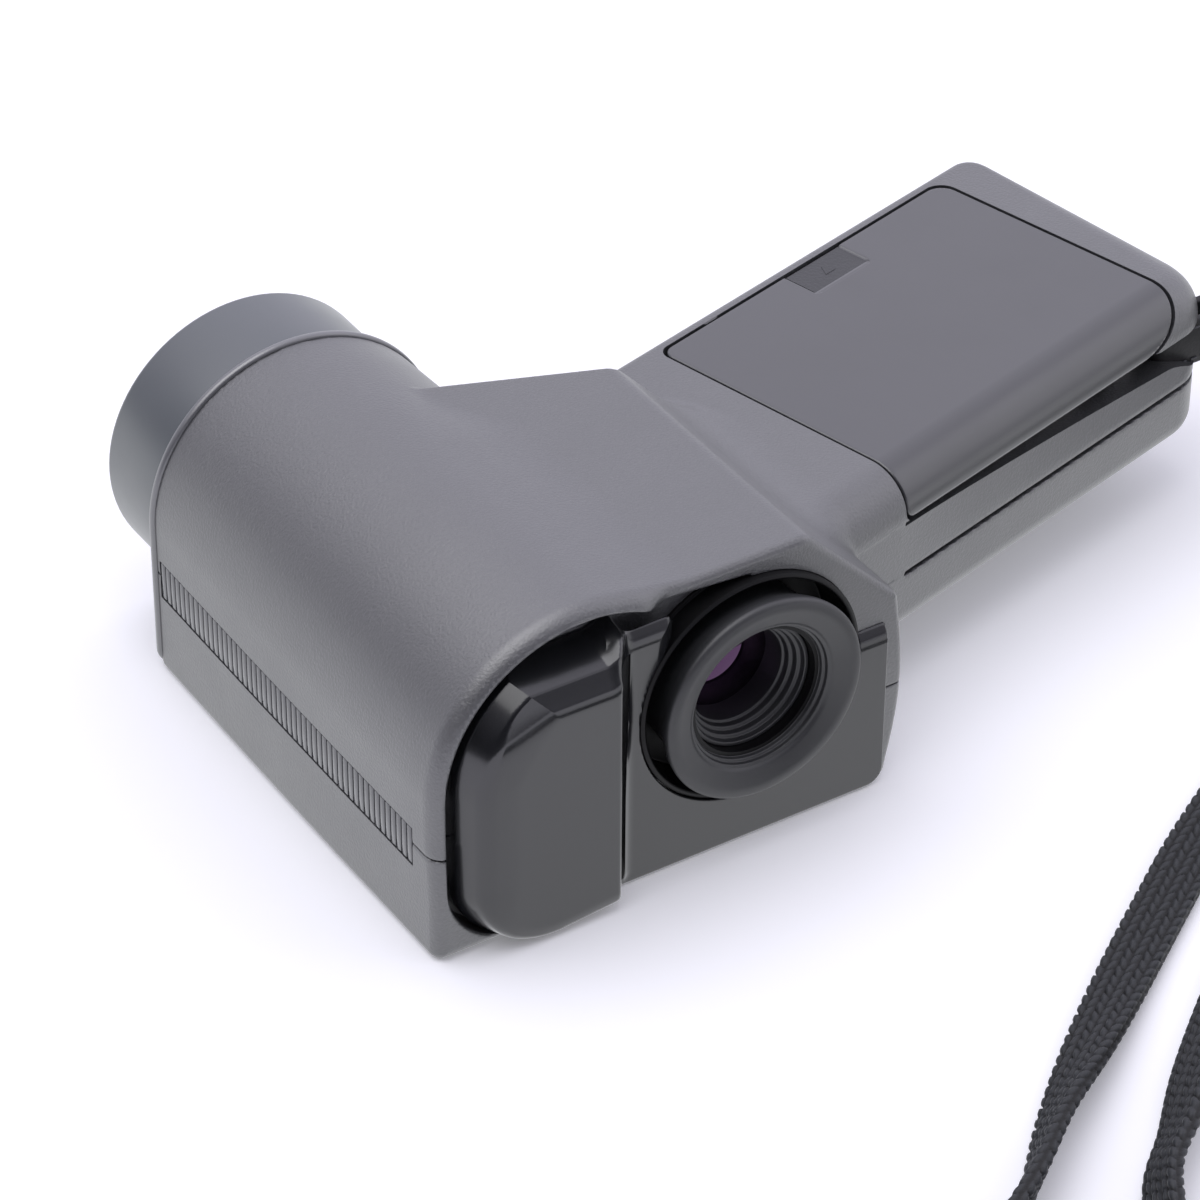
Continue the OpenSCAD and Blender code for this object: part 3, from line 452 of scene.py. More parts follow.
def along_grip(s):
    """0 at the grip's root and 1 near its end."""
    return np.clip((s - 5) / 63, 0, 1)


def cove_floor(s):
    """Lower edge of the slot behind the door, which opens towards the grip's end."""
    return COVE_TOP - 0.5 - COVE_DROP * along_grip(s)


def grip_form(x, y, z):
    """A slanted block with a rounded back edge, and a cove under the door's rear edge."""
    s, w = grip_axes(x, y)
    end, front, rear = s - GRIP["length"], w - 0.4, -w - GRIP["width"]
    plan = inside(rmax(end, front, 3.5), rmax(end, rear, 8.5))
    edge = 1.6 + 4.9 * np.clip((-w - 4) / 36, 0, 1)
    form = rmax(rmax(plan, z - GRIP["high"], edge), GRIP["low"] - z, 4.0)
    deep = COVE_IN * along_grip(s) ** 0.7
    lean = w + GRIP["width"] - deep * np.clip((z - COVE_LOW) / (COVE_TOP - COVE_LOW), 0, 1)
    cove = inside(lean, z - COVE_TOP, COVE_LOW - z)
    slot = inside(w + 42.2, z - COVE_TOP, cove_floor(s) - z, 5.8 - s)
    cove = np.minimum(cove, slot)
    return inside(rmax(form, -cove, 0.25), -s - 20)


def case_form(x, y, z):
    """The outside of both shells together."""
    round_part = housing_outline(x, y, z)
    housing = rmax(round_part, y - HOUSING_Y, 0.25)
    # The shoulder: a flat top that sinks into the housing, a slope, a side with a ridge, and the front
    sink = 0.05 * np.maximum(32 - x, 0) ** 2
    top = soft_max(z - SHOULDER_Z + sink, line(x, z, (58, SHOULDER_Z), (1, 1)), 0.9)
    side = soft_max(line(x, z, (73, 30), (15, 2)), line(x, z, (75, 15), (15, -3)), 3.0)
    front = line(x, y, (46, 51.5), (math.tan(math.radians(21)), 1))
    shoulder = inside(rmax(top, rmax(side, front, 7.0), 0.7), HOUSING_R - 7 - x)
    body = soft_min(housing, shoulder, 0.6 + 3.2 * ramp(y, 53, 40))
    body = soft_min(body, grip_form(x, y, z), 1.6 + 3.0 * ramp(z, 30, 36))
    # The rear face and the edge at the table are rounded less where the back cover's plate stands
    at_plate = ramp(x, 31, 36.5)
    body = rmax(body, -z, 1.5 - 0.6 * at_plate * ramp(y, 12, 6))
    under_pod = ramp(x, 10, 18) * ramp(z, 8, 3)
    rear = -LIP + LIP * np.maximum(at_plate, under_pod) - y
    body = rmax(body, rear, 3.0 - 1.8 * np.maximum(at_plate, 0.5 * ramp(z, 20, 10)))
    # The pit that the back cover stands in, inside the housing's lip
    lip_inside = rmax(round_part + LIP, 0.6 - z, 11.0)
    pit = inside(27 - x, x - EYE_AXIS[0], line(x, z, (30, 43.9), (0.085, 1)), 37 - z)
    pit = np.minimum(lip_inside, pit)
    deep = 2.5 * np.maximum(ramp(x, 30, 28.5), ramp(z, 37, 38.5))
    return rmax(body, -inside(pit, y - deep), 0.6)


# %% [markdown]
# ## Openings of the case
# The shells are hollow, with a wall of about 2 mm. The battery door lies in a recess that
# follows the outside at one depth, so its corners are drawn on the unrolled surface: s
# along the grip, and q from the front edge over the top and down the rounded back edge.


# %% Openings
def unrolled(w, z):
    """Distance over the grip's surface from its front edge, down to the back."""
    centre = DOOR_EDGE - GRIP["width"]
    drop = z - (GRIP["high"] - DOOR_EDGE)
    angle = np.arctan2(np.maximum(centre - w, 0), np.maximum(drop, 1e-6))
    bend = np.where(drop > 0, angle * DOOR_EDGE, math.pi / 2 * DOOR_EDGE - drop)
    return np.where(w > centre, -w, -centre + bend)


def door_outline(s, q, play):
    s0, s1, q0, q1 = DOOR_S[0] + play, DOOR_S[1] - play, DOOR_Q[0] + play, DOOR_Q[1] - play
    low, high, front, back = s0 - s, s - s1, q0 - q, q - q1
    return inside(rmax(low, front, 2.0), rmax(high, front, 3.0), rmax(high, back, 9.0), rmax(low, back, 1.5))


def round_hole(u, v, centre, radius):
    return np.hypot(u - centre[0], v - centre[1]) - radius


def hollow(x, y, z, form):
    s, w = grip_axes(x, y)
    grip_room = inside(z - 32.05, -41.5 - w, s - 66.5)
    return inside(form + WALL, np.minimum(s - 4, grip_room))


def shared_cuts(x, y, z, form):
    """What is taken out of both shells, as a list of fields."""
    s, w = grip_axes(x, y)
    t = narrowing(y)
    eye = inside(round_hole(x, z, EYE_AXIS, 17.2), y - 10)
    nose = inside(round_hole(x, z, LENS_AXIS, 18.0), 60 - y)
    strip_slot = inside(box_field(y, z, (3.7, 12.9), (72.1, 19.1)), x - 1.0 - SLIMMER * t)
    pocket = inside(line(s, w, (48, -42.8), (-6.5, 16.8)), line(s, w, (64.8, -35.5), (-2.8, 12.7)))
    pocket = inside(pocket, z - 28.9, cove_floor(s) - 2.4 * ramp(s, 66, 75) - z)
    bush = inside(round_hole(w, z, (-15, 27), 5.05), 66 - s)
    button = inside(box_field(s, z, (-11.3, 17.2), (4.3, 30.8)), -8 - w)
    return [hollow(x, y, z, form), eye, nose, strip_slot, pocket, bush, button]


# %% [markdown]
# ## Upper and lower shell
# The two shells meet at a stepped line: 15 mm above the table along the body and 20 mm
# along the grip. A gap of 0.2 mm is left between them, as a real joint has.

# %% Fields of the two shells
SEAM, GRIP_SEAM, STEP_X = 15.0, 20.0, 83.0
SCREWS, GRIP_SCREW, SCREW_R, SCREW_DEEP = ((6, 8), (6, 56), (40, 56), (66, 16)), (70, -30.5), 2.35, 2.3
# Window, switch and keys: middle and half size of each hole in the display side
FACE_HOLES = [(20.5, 35, 10, 22), (58, 18.5, 2.3, 5.8)] + [
    (x, y, 3.3, 4.3) for x in (38.5, 47.5) for y in (16, 28, 40)]


def joint(x, z):
    """Below zero above the joint line."""
    return inside(SEAM + 1.6 * ramp(x, 30, 12) - z, np.minimum(x - STEP_X, GRIP_SEAM - z))


def tight(x, z):
    """1 where the joint steps up to the grip and closes to nothing."""
    return ramp(np.abs(x - STEP_X), 1.6, 0.9) * ramp(z, 14.2, 15.2)


def joint_edge(x, z):
    """Half the gap of the joint, and the rounding of its rims."""
    open_joint = 1 - tight(x, z)
    return (0.1 + 0.25 * ramp(x, 83.6, 84.2)) * open_joint, 0.25 * open_joint


def carve(field, cuts):
    """What is left of a field outside all of the cuts."""
    return inside(field, *(-cut for cut in cuts))


def upper_shell(x, y, z):
    form = case_form(x, y, z)
    s, w = grip_axes(x, y)
    recess = inside(door_outline(s, unrolled(w, z), -DOOR_PLAY), -form - DOOR_T - 0.15, 27 - z)
    well = inside(box_field(s, w, (8.5, -31.4), (64.5, -16.6)), 24 - z)
    gap, rim = joint_edge(x, z)
    field = rmax(form, joint(x, z) + gap, rim)
    return carve(field, shared_cuts(x, y, z, form) + [recess, well])


def lower_shell(x, y, z):
    form = case_form(x, y, z)
    gap, rim = joint_edge(x, z)
    field = rmax(form, -joint(x, z) + gap, rim)
    cuts = [inside(rmax(np.abs(x - mx) - hx, np.abs(y - my) - hy, 0.8), z - 4) for mx, my, hx, hy in FACE_HOLES]
    cuts += [inside(round_hole(x, y, screw, SCREW_R), z - SCREW_DEEP) for screw in SCREWS]
    cuts.append(inside(round_hole(*grip_axes(x, y), GRIP_SCREW, SCREW_R), z - GRIP["low"] - SCREW_DEEP))
    return carve(field, shared_cuts(x, y, z, form) + cuts)


# %% [markdown]
# ## Laying a skin on a field
# Dual contouring lays a skin on such a field. It cuts space into small cubes, finds where
# the surface crosses their edges, and notes the surface's direction there. Each crossed
# cube gets one point, put where those directions agree best, so a crease stays straight
# although no cube lies along it. Neighbouring points are then joined with quads.


# %% Skin
def slope(field, p, eps=0.02):
    """The field's direction at points: along it the distance grows fastest."""
    g = np.stack([field(*(p + d).T) - field(*(p - d).T) for d in np.eye(3) * eps], axis=1)
    return g / np.maximum(np.linalg.norm(g, axis=1), 1e-9)[:, None]


def crossings(field, values, axis, low, step):
    """Grid edges along one axis that the surface crosses, and where and which way it does."""
    first = np.moveaxis(values, axis, 0)
    edge = np.argwhere((first[:-1] < 0) != (first[1:] < 0))
    into = first[tuple(edge.T)] < 0
    order = np.argsort([axis] + [k for k in range(3) if k != axis])
    node = edge[:, order]
    along = np.eye(3)[axis]
    near, far = np.zeros(len(node)), np.ones(len(node))
    for _ in range(9):
        half = (near + far) / 2
        same = (field(*(low + step * (node + half[:, None] * along)).T) < 0) == into
        near, far = np.where(same, half, near), np.where(same, far, half)
    return node, into, low + step * (node + ((near + far) / 2)[:, None] * along)


def contour(field, low, high, step):
    """Points and quads on the field's zero surface inside a box."""
    low = np.array(low, float)
    axes = [np.arange(a, b + step, step) for a, b in zip(low, high)]
    yy, zz = np.meshgrid(axes[1], axes[2], indexing="ij")
    values = np.stack([field(np.full_like(yy, x), yy, zz) for x in axes[0]])
    shape = values.shape
    cells, spots, ways, quads = [], [], [], []
    for axis in range(3):
        node, into, spot = crossings(field, values, axis, low, step)
        way = slope(field, spot)
        u, v = np.eye(3, dtype=int)[(axis + 1) % 3], np.eye(3, dtype=int)[(axis + 2) % 3]
        ring = [np.ravel_multi_index(tuple((node - a * u - b * v).T), shape)
                for a, b in ((1, 1), (0, 1), (0, 0), (1, 0))]
        quads.append(np.where(into[:, None], np.stack(ring, 1), np.stack(ring[::-1], 1)))
        cells += ring
        spots += [spot] * 4
        ways += [way] * 4
    used, index = np.unique(np.concatenate(cells), return_inverse=True)
    spot, way = np.concatenate(spots), np.concatenate(ways)

    def gather(what):
        return np.stack([np.bincount(index, column) for column in what.reshape(len(what), -1).T], 1)

    middle = gather(spot) / np.bincount(index)[:, None]
    pull = gather(way * ((spot - middle[index]) * way).sum(1)[:, None])
    spread = gather(way[:, :, None] * way[:, None, :]).reshape(-1, 3, 3) + 0.01 * np.eye(3)
    shift = np.linalg.solve(spread, pull[:, :, None])[:, :, 0]
    shift *= np.minimum(1, 0.9 * step / np.maximum(np.linalg.norm(shift, axis=1), 1e-9))[:, None]
    points = middle + shift
    for _ in range(3):
        points -= np.clip(field(*points.T), -0.3 * step, 0.3 * step)[:, None] * slope(field, points)
    return points, np.searchsorted(used, np.vstack(quads))


def skin(name, field, low, high, step, finish, body, nodes, turn=None, hidden=None):
    """A piece whose surface is where the field is zero; hidden tells where a joint doesn't show."""
    points, quads = contour(field, low, high, step)
    corners = points[quads]
    inner = (corners + 0.35 * (corners.mean(axis=1, keepdims=True) - corners)).reshape(-1, 3)
    normals = slope(field, inner)
    if hidden:
        shut = hidden(points)[quads].ravel()
        normals[shut] = slope(case_form, inner[shut])
    if turn is not None:
        points, normals = points @ turn[0].T + turn[1], normals @ turn[0].T
    mesh = bpy.data.meshes.new(name)
    mesh.from_pydata(((points - np.array(MIDDLE)) * MM).tolist(), [], quads.tolist())
    mesh.shade_smooth()
    mesh.normals_split_custom_set(normals.tolist())
    return dress(mesh, finish, body, nodes)


# %% Lay the skins of the two shells
STEP, FINE_STEP = ((0.6, 0.36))


def shut_joint(p):
    """Points of the outer surface along the closed part of the joint."""
    return (tight(p[:, 0], p[:, 2]) > 0.3) & (np.abs(case_form(*p.T)) < 0.05)


skin("upper_case", upper_shell, (-1.5, -3.5, 13.0), (151.5, 79.0, 49.5), STEP, case_abs, "body",
     ["right_case"], hidden=shut_joint)
skin("lower_case", lower_shell, (-1.5, -3.5, -1.2), (151.5, 79.0, 21.5), STEP, case_abs, "body",
     ["left_case"], hidden=shut_joint)

# %% [markdown]
# ## Battery door
# The door is cut from the same form as the case, so its face runs on from the shell
# without a step, and it wraps the grip's back edge. It is laid in the grip's own axes so
# that its straight edges follow the small cubes.

# %% Door
GRIP_TURN = np.array(Matrix.Rotation(GRIP["turn"], 3, "Z"))
GRIP_ORIGIN = np.array((GRIP["x"], GRIP["y"], 0.0))


def in_meter(s, w):
    """Meter X and Y of a point in the grip's axes."""
    c, n = math.cos(GRIP["turn"]), math.sin(GRIP["turn"])
    return GRIP["x"] + s * c - w * n, GRIP["y"] + s * n + w * c


def to_grip(bm, turn=0.0, s=0.0, w=0.0):
    """Turns a piece into the grip's direction and moves it to a point of the grip's axes."""
    bmesh.ops.rotate(bm, cent=(0, 0, 0), matrix=Matrix.Rotation(GRIP["turn"] + turn, 3, "Z"), verts=bm.verts)
    bmesh.ops.translate(bm, vec=(*in_meter(s, w), 0), verts=bm.verts)


def door(s, w, z):
    """The door's skin, as thick as its recess is deep, with the thumb recess at its front edge."""
    form = case_form(*in_meter(s, w), z)
    field = rmax(rmax(form, door_outline(s, unrolled(w, z), DOOR_PLAY), 0.3), -form - DOOR_T, 0.2)
    field = inside(field, 27 - z)
    catch = inside(rmax(inside(32.4 - s, s - 44.1), -8.3 - w, 0.8), 35.7 + 0.3 * ramp(w, -7.2, -8.3) - z)
    return soft_max(field, -catch, 0.3)


skin("battery_cover", door, (4.5, -48.5, 28.0), (69.0, 0.0, 37.0), FINE_STEP, door_abs, "battery_door",
     ["battery_door"], (GRIP_TURN, GRIP_ORIGIN))

# %% [markdown]
# A patch of coarse spark-eroded grain lies in the door's thumb recess, with an arrow that
# shows which way the door slides.

# %% Thumb patch
# The coarse grain breaks the light up, so the patch looks darker and duller than the door
patch_abs = surface("coarse_grained_abs", "#292a2e", 0.45, grain=0.5, height=0.12, shade=0.08,
                    extra={"Specular IOR Level": 1.0})
PATCH_S, PATCH_W = 38.25, -5.15
patch = bmesh.new()
add_bar(patch, (11.3, 5.9, 0.3), (PATCH_S, PATCH_W, 35.66))
arrow = bmesh.ops.create_cone(patch, cap_ends=True, segments=3, radius1=1.3, radius2=1.2, depth=0.3)["verts"]
bmesh.ops.translate(patch, vec=(PATCH_S, PATCH_W, 35.72), verts=arrow)
to_grip(patch)
piece("thumb_patch", patch, patch_abs, "battery_door")

# %% [markdown]
# ## Back cover
# The glossy cover has a raised end, whose outer edge runs parallel to the round housing,
# and a flat plate round the eyepiece. Both have a wide bevel along their upper edges: it
# starts at the outline and ends on the flat face, so it is a plane in the distance from
# the outline and the depth.


# %% Cover
def bevelled(outline, y, start, flat, width, soft):
    """A plate with this outline whose bevel runs from depth start to flat over a width."""
    slant = np.hypot(width, start - flat)
    fall = ((start - y) * width + outline * (start - flat)) / slant
    return rmax(rmax(outline, fall, 0.6 * soft), flat - y, soft)


def back_cover(x, y, z):
    left = np.where(z > AXIS_Z, np.hypot(x - HOUSING_R, z - AXIS_Z) - 19.4, 3.6 - x)
    drafted = rmax(0.87 * (left - 0.55 * np.minimum(y + 1, 0)), 0.1 + 0.095 * np.maximum(x - 10, 0) - z, 10.0)
    shelf = z - 39.8 - 1.3 * ramp(x, 24.4, 27.8) - 0.35 * np.clip(y + 3.9, 0, 6.3)
    upper = inside(drafted, 0.95 * shelf)
    bevel = ramp(z, 27.5, 38.5)
    soft = 0.35 + 1.8 * (1 - bevel) * (1 - 0.6 * ramp(z, 12, 4))
    pod = bevelled(upper, y, -5.4 + 1.5 * bevel, -5.5, 0.15 + 3.05 * bevel, soft)
    pod = rmax(inside(pod, y - 2.3), x - 26.3 - 2.4 * ramp(y, -5.2, -1.0), 0.8)
    top = np.minimum(rmax(z - 41.1, x - 36.9, 1.2), z - 26.5)
    plate = bevelled(top, y, -0.1, -1.2, 1.9, 0.5)
    plate = rmax(rmax(plate, rmax(x - 70.7, 0.35 - z, 2.5), 0.35), y, 0.2)
    plate = inside(plate, 27.4 - x)
    cover = soft_min(pod, plate, 2.0)
    slot = inside(26.9 - x, x - 28.95 - 0.75 * ramp(z, 14, 37), z - 38.3)
    cover = rmax(cover, -inside(slot, y + 0.3), 0.1)
    return rmax(cover, -round_hole(x, z, EYE_AXIS, 17.25), 0.3)


skin("back_cover", back_cover, (2.5, -6.5, -0.6), (72.5, 3.2, 44.5), FINE_STEP, cover_abs, "body",
     ["rear_cover"])

# %% [markdown]
# ## Lathe-turned pieces
# The barrel, the eyecup and the tubes are round, so each is a half outline that is spun
# about its axis. A small function rounds the outline's corners first.


# %% Lathe
MERGE, FILLET_STEPS = 1e-4, 5


def rounded(corners):
    """An outline from (radius, y, rounding) corners, with each corner rounded."""
    points = []
    for k, (r, y, fillet) in enumerate(corners):
        here = Vector((r, y))
        if not fillet or k in (0, len(corners) - 1):
            points.append(here)
            continue
        a, b = Vector(corners[k - 1][:2]) - here, Vector(corners[k + 1][:2]) - here
        reach = min(fillet, 0.49 * a.length, 0.49 * b.length)
        p, q = here + a.normalized() * reach, here + b.normalized() * reach
        for t in np.linspace(0, 1, FILLET_STEPS + 1).tolist():
            points.append(p * (1 - t) ** 2 + here * 2 * t * (1 - t) + q * t ** 2)
    return points


def lathe(corners, axis, steps=96):
    """Spins an outline about a line along Y through axis (x, z)."""
    bm = bmesh.new()
    verts = [bm.verts.new((axis[0] + p.x, p.y, axis[1])) for p in rounded(corners)]
    edges = [bm.edges.new(pair) for pair in zip(verts, verts[1:])]
    bmesh.ops.spin(bm, geom=verts + edges, cent=(axis[0], 0, axis[1]), axis=(0, 1, 0), angle=math.tau,
                   steps=steps, use_merge=True)
    bmesh.ops.remove_doubles(bm, verts=bm.verts, dist=MERGE)
    bmesh.ops.dissolve_degenerate(bm, dist=MERGE, edges=bm.edges)
    bmesh.ops.recalc_face_normals(bm, faces=bm.faces)
    return bm


thread_rings = [(19.0 - 0.25 * (k % 2), 88.1 - 0.35 * k, 0) for k in range(12)]
barrel = lathe([
    (17.5, 60.4, 0), (17.5, 74.35, 0.2), (20.95, 74.35, 0.25), (21.0, 88.0, 0.9), (20.2, 88.6, 0.3),
    (19.3, 88.6, 0.25), *thread_rings, (19.0, 83.4, 0.1), (18.4, 83.2, 0.1), (18.4, 80.9, 0.1),
    (16.46, 80.8, 0.1), (16.46, 76.9, 0.1), (15.41, 76.8, 0.1), (15.41, 63.4, 0.1), (13.51, 63.3, 0.1),
    (13.51, 60.4, 0), (17.5, 60.4, 0)], LENS_AXIS)
piece("lens_tube", barrel, barrel_paint, "body", ["lens_barrel"])

# %% [markdown]
# ## Eyepiece
# A black recess, and in it the rubber eyecup: a flared round rim, a shallow dish and three
# fine steps down to the tube with the purple-coated lens.

# %% Eyepiece pieces
seat = lathe([
    (17.1, -0.9, 0.3), (16.6, -1.2, 0.25), (16.25, -0.9, 0.3), (16.2, 5.9, 0.3), (11.45, 6.0, 0.2), (11.45, 7.9, 0.2),
    (17.1, 8.0, 0.2), (17.1, 3.6, 0.1), (17.6, 3.5, 0.1), (17.6, 2.1, 0.1), (17.1, 2.0, 0.1), (17.1, -0.9, 0)],
    EYE_AXIS)
piece("recess_ring", seat, black_abs, "body", ["eyepiece_seat"])
cup = lathe([
    (10.9, 5.65, 0), (10.9, -1.2, 0.1), (9.6, -1.2, 0.15), (9.65, -1.9, 0.15), (10.05, -2.0, 0.15),
    (10.1, -2.6, 0.15), (10.5, -2.7, 0.15), (10.55, -3.3, 0.15), (10.95, -3.4, 0.15), (11.3, -3.8, 0.4),
    (13.9, -4.8, 0.9), (15.3, -4.4, 1.0), (15.1, -3.0, 0.8), (13.4, 0.5, 2.0), (12.9, 5.65, 0), (10.9, 5.65, 0)],
    EYE_AXIS)
piece("rubber_eyecup", cup, eyecup_rubber, "focus_ring", ["eyecup"])
tube = lathe([
    (9.34, -0.4, 0), (9.3, -0.6, 0.1), (8.75, -0.6, 0.15), (8.65, 0.3, 0.15), (8.15, 0.4, 0.15), (8.05, 1.3, 0.15),
    (7.55, 1.4, 0.15), (7.45, 2.3, 0.15), (7.1, 2.4, 0.15), (6.9, 6.0, 0), (8.0, 6.2, 0), (8.0, 14.0, 0),
    (9.34, 14.0, 0), (9.34, -0.4, 0)], EYE_AXIS)
piece("eyepiece_tube", tube, eyecup_rubber, "lens_cell", ["lens_cell"])

# %% [markdown]
# The eyepiece lens bulges towards the eye and sits deep in the tube, so only its upper
# part catches the light that falls in.

# %% Eyepiece lens
BULGE, GLASS_R, GLASS_Y = 19.0, 7.9, 4.6
dome = [(r, GLASS_Y + BULGE - math.sqrt(BULGE ** 2 - r ** 2), 0) for r in np.linspace(0, GLASS_R, 14)]
glass = lathe(dome + [(GLASS_R, 11.0, 0), (0, 11.6, 0)], EYE_AXIS, steps=64)
# A purple coating mirrors one colour and lets the rest through, so the deep glass looks purple and black
purple_glass = surface("coated_lens_glass", "#08050a", 0.03, grain=4.0, height=0.0002, shade=0.02, wander=0.01,
                       extra={"IOR": 2.2, "Specular Tint": linear("#c58ad0")})
piece("eyepiece_glass", glass, purple_glass, "lens_cell", ["eyepiece_lens"])

# %% [markdown]
# ## Front panel
# A thin panel closes the housing's front round the barrel. Its rounded edge is the light
# bead that runs round the front, partly a painted highlight in the panel's colour.

# %% Panel
PANEL_R, PANEL_X, PANEL_Z, PANEL_CORNER = 22.75, 23.0, 23.8, 3.0
PANEL_Y, PANEL_T, PANEL_HOLE = 73.02, 1.28, 17.6
arc = [(PANEL_X + PANEL_R * math.cos(a), PANEL_Z + PANEL_R * math.sin(a)) for a in np.linspace(0, math.pi, 65)]
quarter = [(PANEL_R - PANEL_CORNER * (1 - math.cos(a)), PANEL_CORNER * (1 - math.sin(a)))
           for a in np.linspace(0, math.pi / 2, 9)]
edge = arc + [(PANEL_X - across, z) for across, z in quarter] + [(PANEL_X + across, z) for across, z in quarter[::-1]]
angles = np.linspace(0, math.tau, len(edge), endpoint=False)
hole = [(LENS_AXIS[0] + PANEL_HOLE * math.cos(a), LENS_AXIS[1] + PANEL_HOLE * math.sin(a)) for a in angles]
panel = bmesh.new()
flat_band(panel, [[(x, PANEL_Y, z) for x, z in loop] for loop in (edge, hole)])
thicken(panel, (0, PANEL_T, 0))
outer = [e for e in panel.edges if abs(e.calc_face_angle(0)) > 1.2
         and all(math.hypot(v.co.x - LENS_AXIS[0], v.co.z - LENS_AXIS[1]) > PANEL_HOLE + 0.4 for v in e.verts)]
round_edges(panel, outer, 0.55, 4)
piece("nose_panel", panel, pale_panel_abs_painted_bead, "body", ["front_panel"])

# %% [markdown]
# ## Ribbed strip
# Fifty fine ribs across the joint line, for the thumb. One rib is a bevelled bar; it is
# copied along the slot and follows the housing's slight narrowing.

# %% Strip
RIBS, STRIP_Y, STRIP_Z, RIB_SHARE = 50, (3.9, 71.9), (13.1, 18.9), 0.84
long, tall, middle_z = STRIP_Y[1] - STRIP_Y[0], STRIP_Z[1] - STRIP_Z[0], sum(STRIP_Z) / 2
pitch = long / RIBS
ribs = bmesh.new()
for y in (STRIP_Y[0] + (k + 0.5) * pitch for k in range(RIBS)):
    add_bar(ribs, (0.6, pitch * RIB_SHARE, tall), (0.35 + SLIMMER * narrowing(y), y, middle_z))
round_edges(ribs, ribs.edges[:], 0.14, 2)
for vert in add_bar(ribs, (0.35, long, tall), (0.4, sum(STRIP_Y) / 2, middle_z)):
    vert.co.x += SLIMMER * narrowing(vert.co.y)
piece("thumb_strip", ribs, strip_abs, "body", ["ribbed_strip"])

# %% [markdown]
# ## Finishes of the pieces that stay as the CAD model has them
# Inside pieces and small parts keep their CAD shape. Each still gets the finish of its
# real material.

# %% Small finishes
METAL = {"Metallic": 1.0}
# Turned steel and brass: bright, with fine tool marks that blur what they mirror
steel = surface("turned_steel", "#a6a8ab", 0.28, grain=0.3, height=0.002, extra=METAL)
brass = surface("turned_brass", "#b58d45", 0.3, grain=0.3, height=0.002, extra=METAL)
# Black anodised aluminium: a metal's sheen, dimmed by the dye in its oxide
dark_alloy = surface("black_anodised_aluminium", "#1c1d20", 0.45, grain=0.3, height=0.002, extra={"Metallic": 0.6})
# Glass-epoxy board under a green lacquer: the weave just shows
laminate = surface("glass_epoxy_board", "#24533a", 0.4, grain=0.8, height=0.004)
# Moulded ABS, pale for the keys and dark for the button and switch: a satin face
key_abs = surface("key_abs", "#8b8d93", 0.42, height=0.004)
button_abs = surface("button_abs", "#2b2c30", 0.42, height=0.006)
# Black leather with its pores, and waxed thread that looks dry and fibrous
leather = surface("black_leather", "#131315", 0.5, grain=0.7, height=0.06)
thread = surface("waxed_thread", "#4a4b4f", 0.6, grain=0.2, height=0.03)
# Pad-printed paint on the keys: flat and white
sign_paint = surface("white_pad_print", "#d8d9d6", 0.5, grain=0.3, height=0.002)
# Printed foil of the cell's jacket: a warm gloss
foil = surface("cell_jacket_foil", "#9a7b3a", 0.3, grain=2.0, height=0.002)
# Coated objective glass, a silvered mirror and the display's glass: smooth, so they mirror sharply
objective_glass = surface("coated_objective_glass", "#0a0d12", 0.03, grain=4.0, height=0.0002, shade=0.02,
                          wander=0.01, extra={"IOR": 1.9, "Specular Tint": linear("#9fc0d8")})
mirror = surface("silvered_glass", "#c8ced2", 0.05, grain=4.0, height=0.0002, extra=METAL)
lcd = surface("lcd_glass", "#6f7669", 0.25, grain=1.0, height=0.001)
# Clear acrylic of the window, and the nearly black segments behind it
acrylic = surface("clear_acrylic", "#c9cfd2", 0.04, grain=3.0, height=0.0002, shade=0.0,
                  extra={"Transmission Weight": 1.0, "IOR": 1.49})
lcd_ink = surface("lcd_segment", "#15181a", 0.3, grain=1.0, height=0.001)
CARRIED = {
    "front_lens": objective_glass, "rear_lens": objective_glass, "lens_ring": black_abs,
    "lens_spacer": dark_alloy, "barrel_nut": dark_alloy, "optical_frame": dark_alloy, "beam_splitter": mirror,
    "finder_mirror": mirror, "reticle_plate": objective_glass, "photocell": steel, "focus_ring": black_abs,
    "main_board": laminate, "display_panel": lcd, "display_window": acrylic, "trigger_switch": black_abs,
    "battery_cell": foil, "battery_tray": black_abs, "battery_spring": steel, "battery_contact": steel,
    "strap_pin": steel}
for node, finish in CARRIED.items():
    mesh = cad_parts[node].data
    mesh.materials.clear()
    mesh.materials.append(finish)
print("CAD nodes with a finish:", len(CARRIED))

# %% [markdown]
# ## Keys, switch, measuring button and screws
# These stand on the display side and the grip's front. Each starts from a copy of its CAD
# solid, whose sharp edges get the small rounding that a mould or a lathe tool leaves.


# %% Softened copies
def cad_copy(node):
    """A copy of a CAD node's mesh in the meter's axes."""
    bm = bmesh.new()
    bm.from_mesh(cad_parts[node].data)
    bmesh.ops.scale(bm, vec=(1 / MM, 1 / MM, 1 / MM), verts=bm.verts)
    bmesh.ops.translate(bm, vec=MIDDLE, verts=bm.verts)
    bmesh.ops.remove_doubles(bm, verts=bm.verts, dist=1e-3)
    return bm


def softened(name, node, finish, body, width, skirt=None):
    """A copy of a CAD node with its sharp edges rounded, and a thin plate if a skirt's size and middle are given."""
    bm = cad_copy(node)
    bmesh.ops.dissolve_limit(bm, angle_limit=math.radians(1), verts=bm.verts, edges=bm.edges)
    crease = [e for e in bm.edges if e.is_manifold and e.calc_face_angle(0) > 0.7]
    round_edges(bm, crease, width, 3, clamp=True)
    if skirt:
        add_bar(bm, *skirt)
    piece(name, bm, finish, body, [node])


KEYS = ("mode", "speed", "up", "down", "memory", "clear")
for key in KEYS:
    softened(key + "_button", key + "_key", key_abs, key + "_key", 0.35)
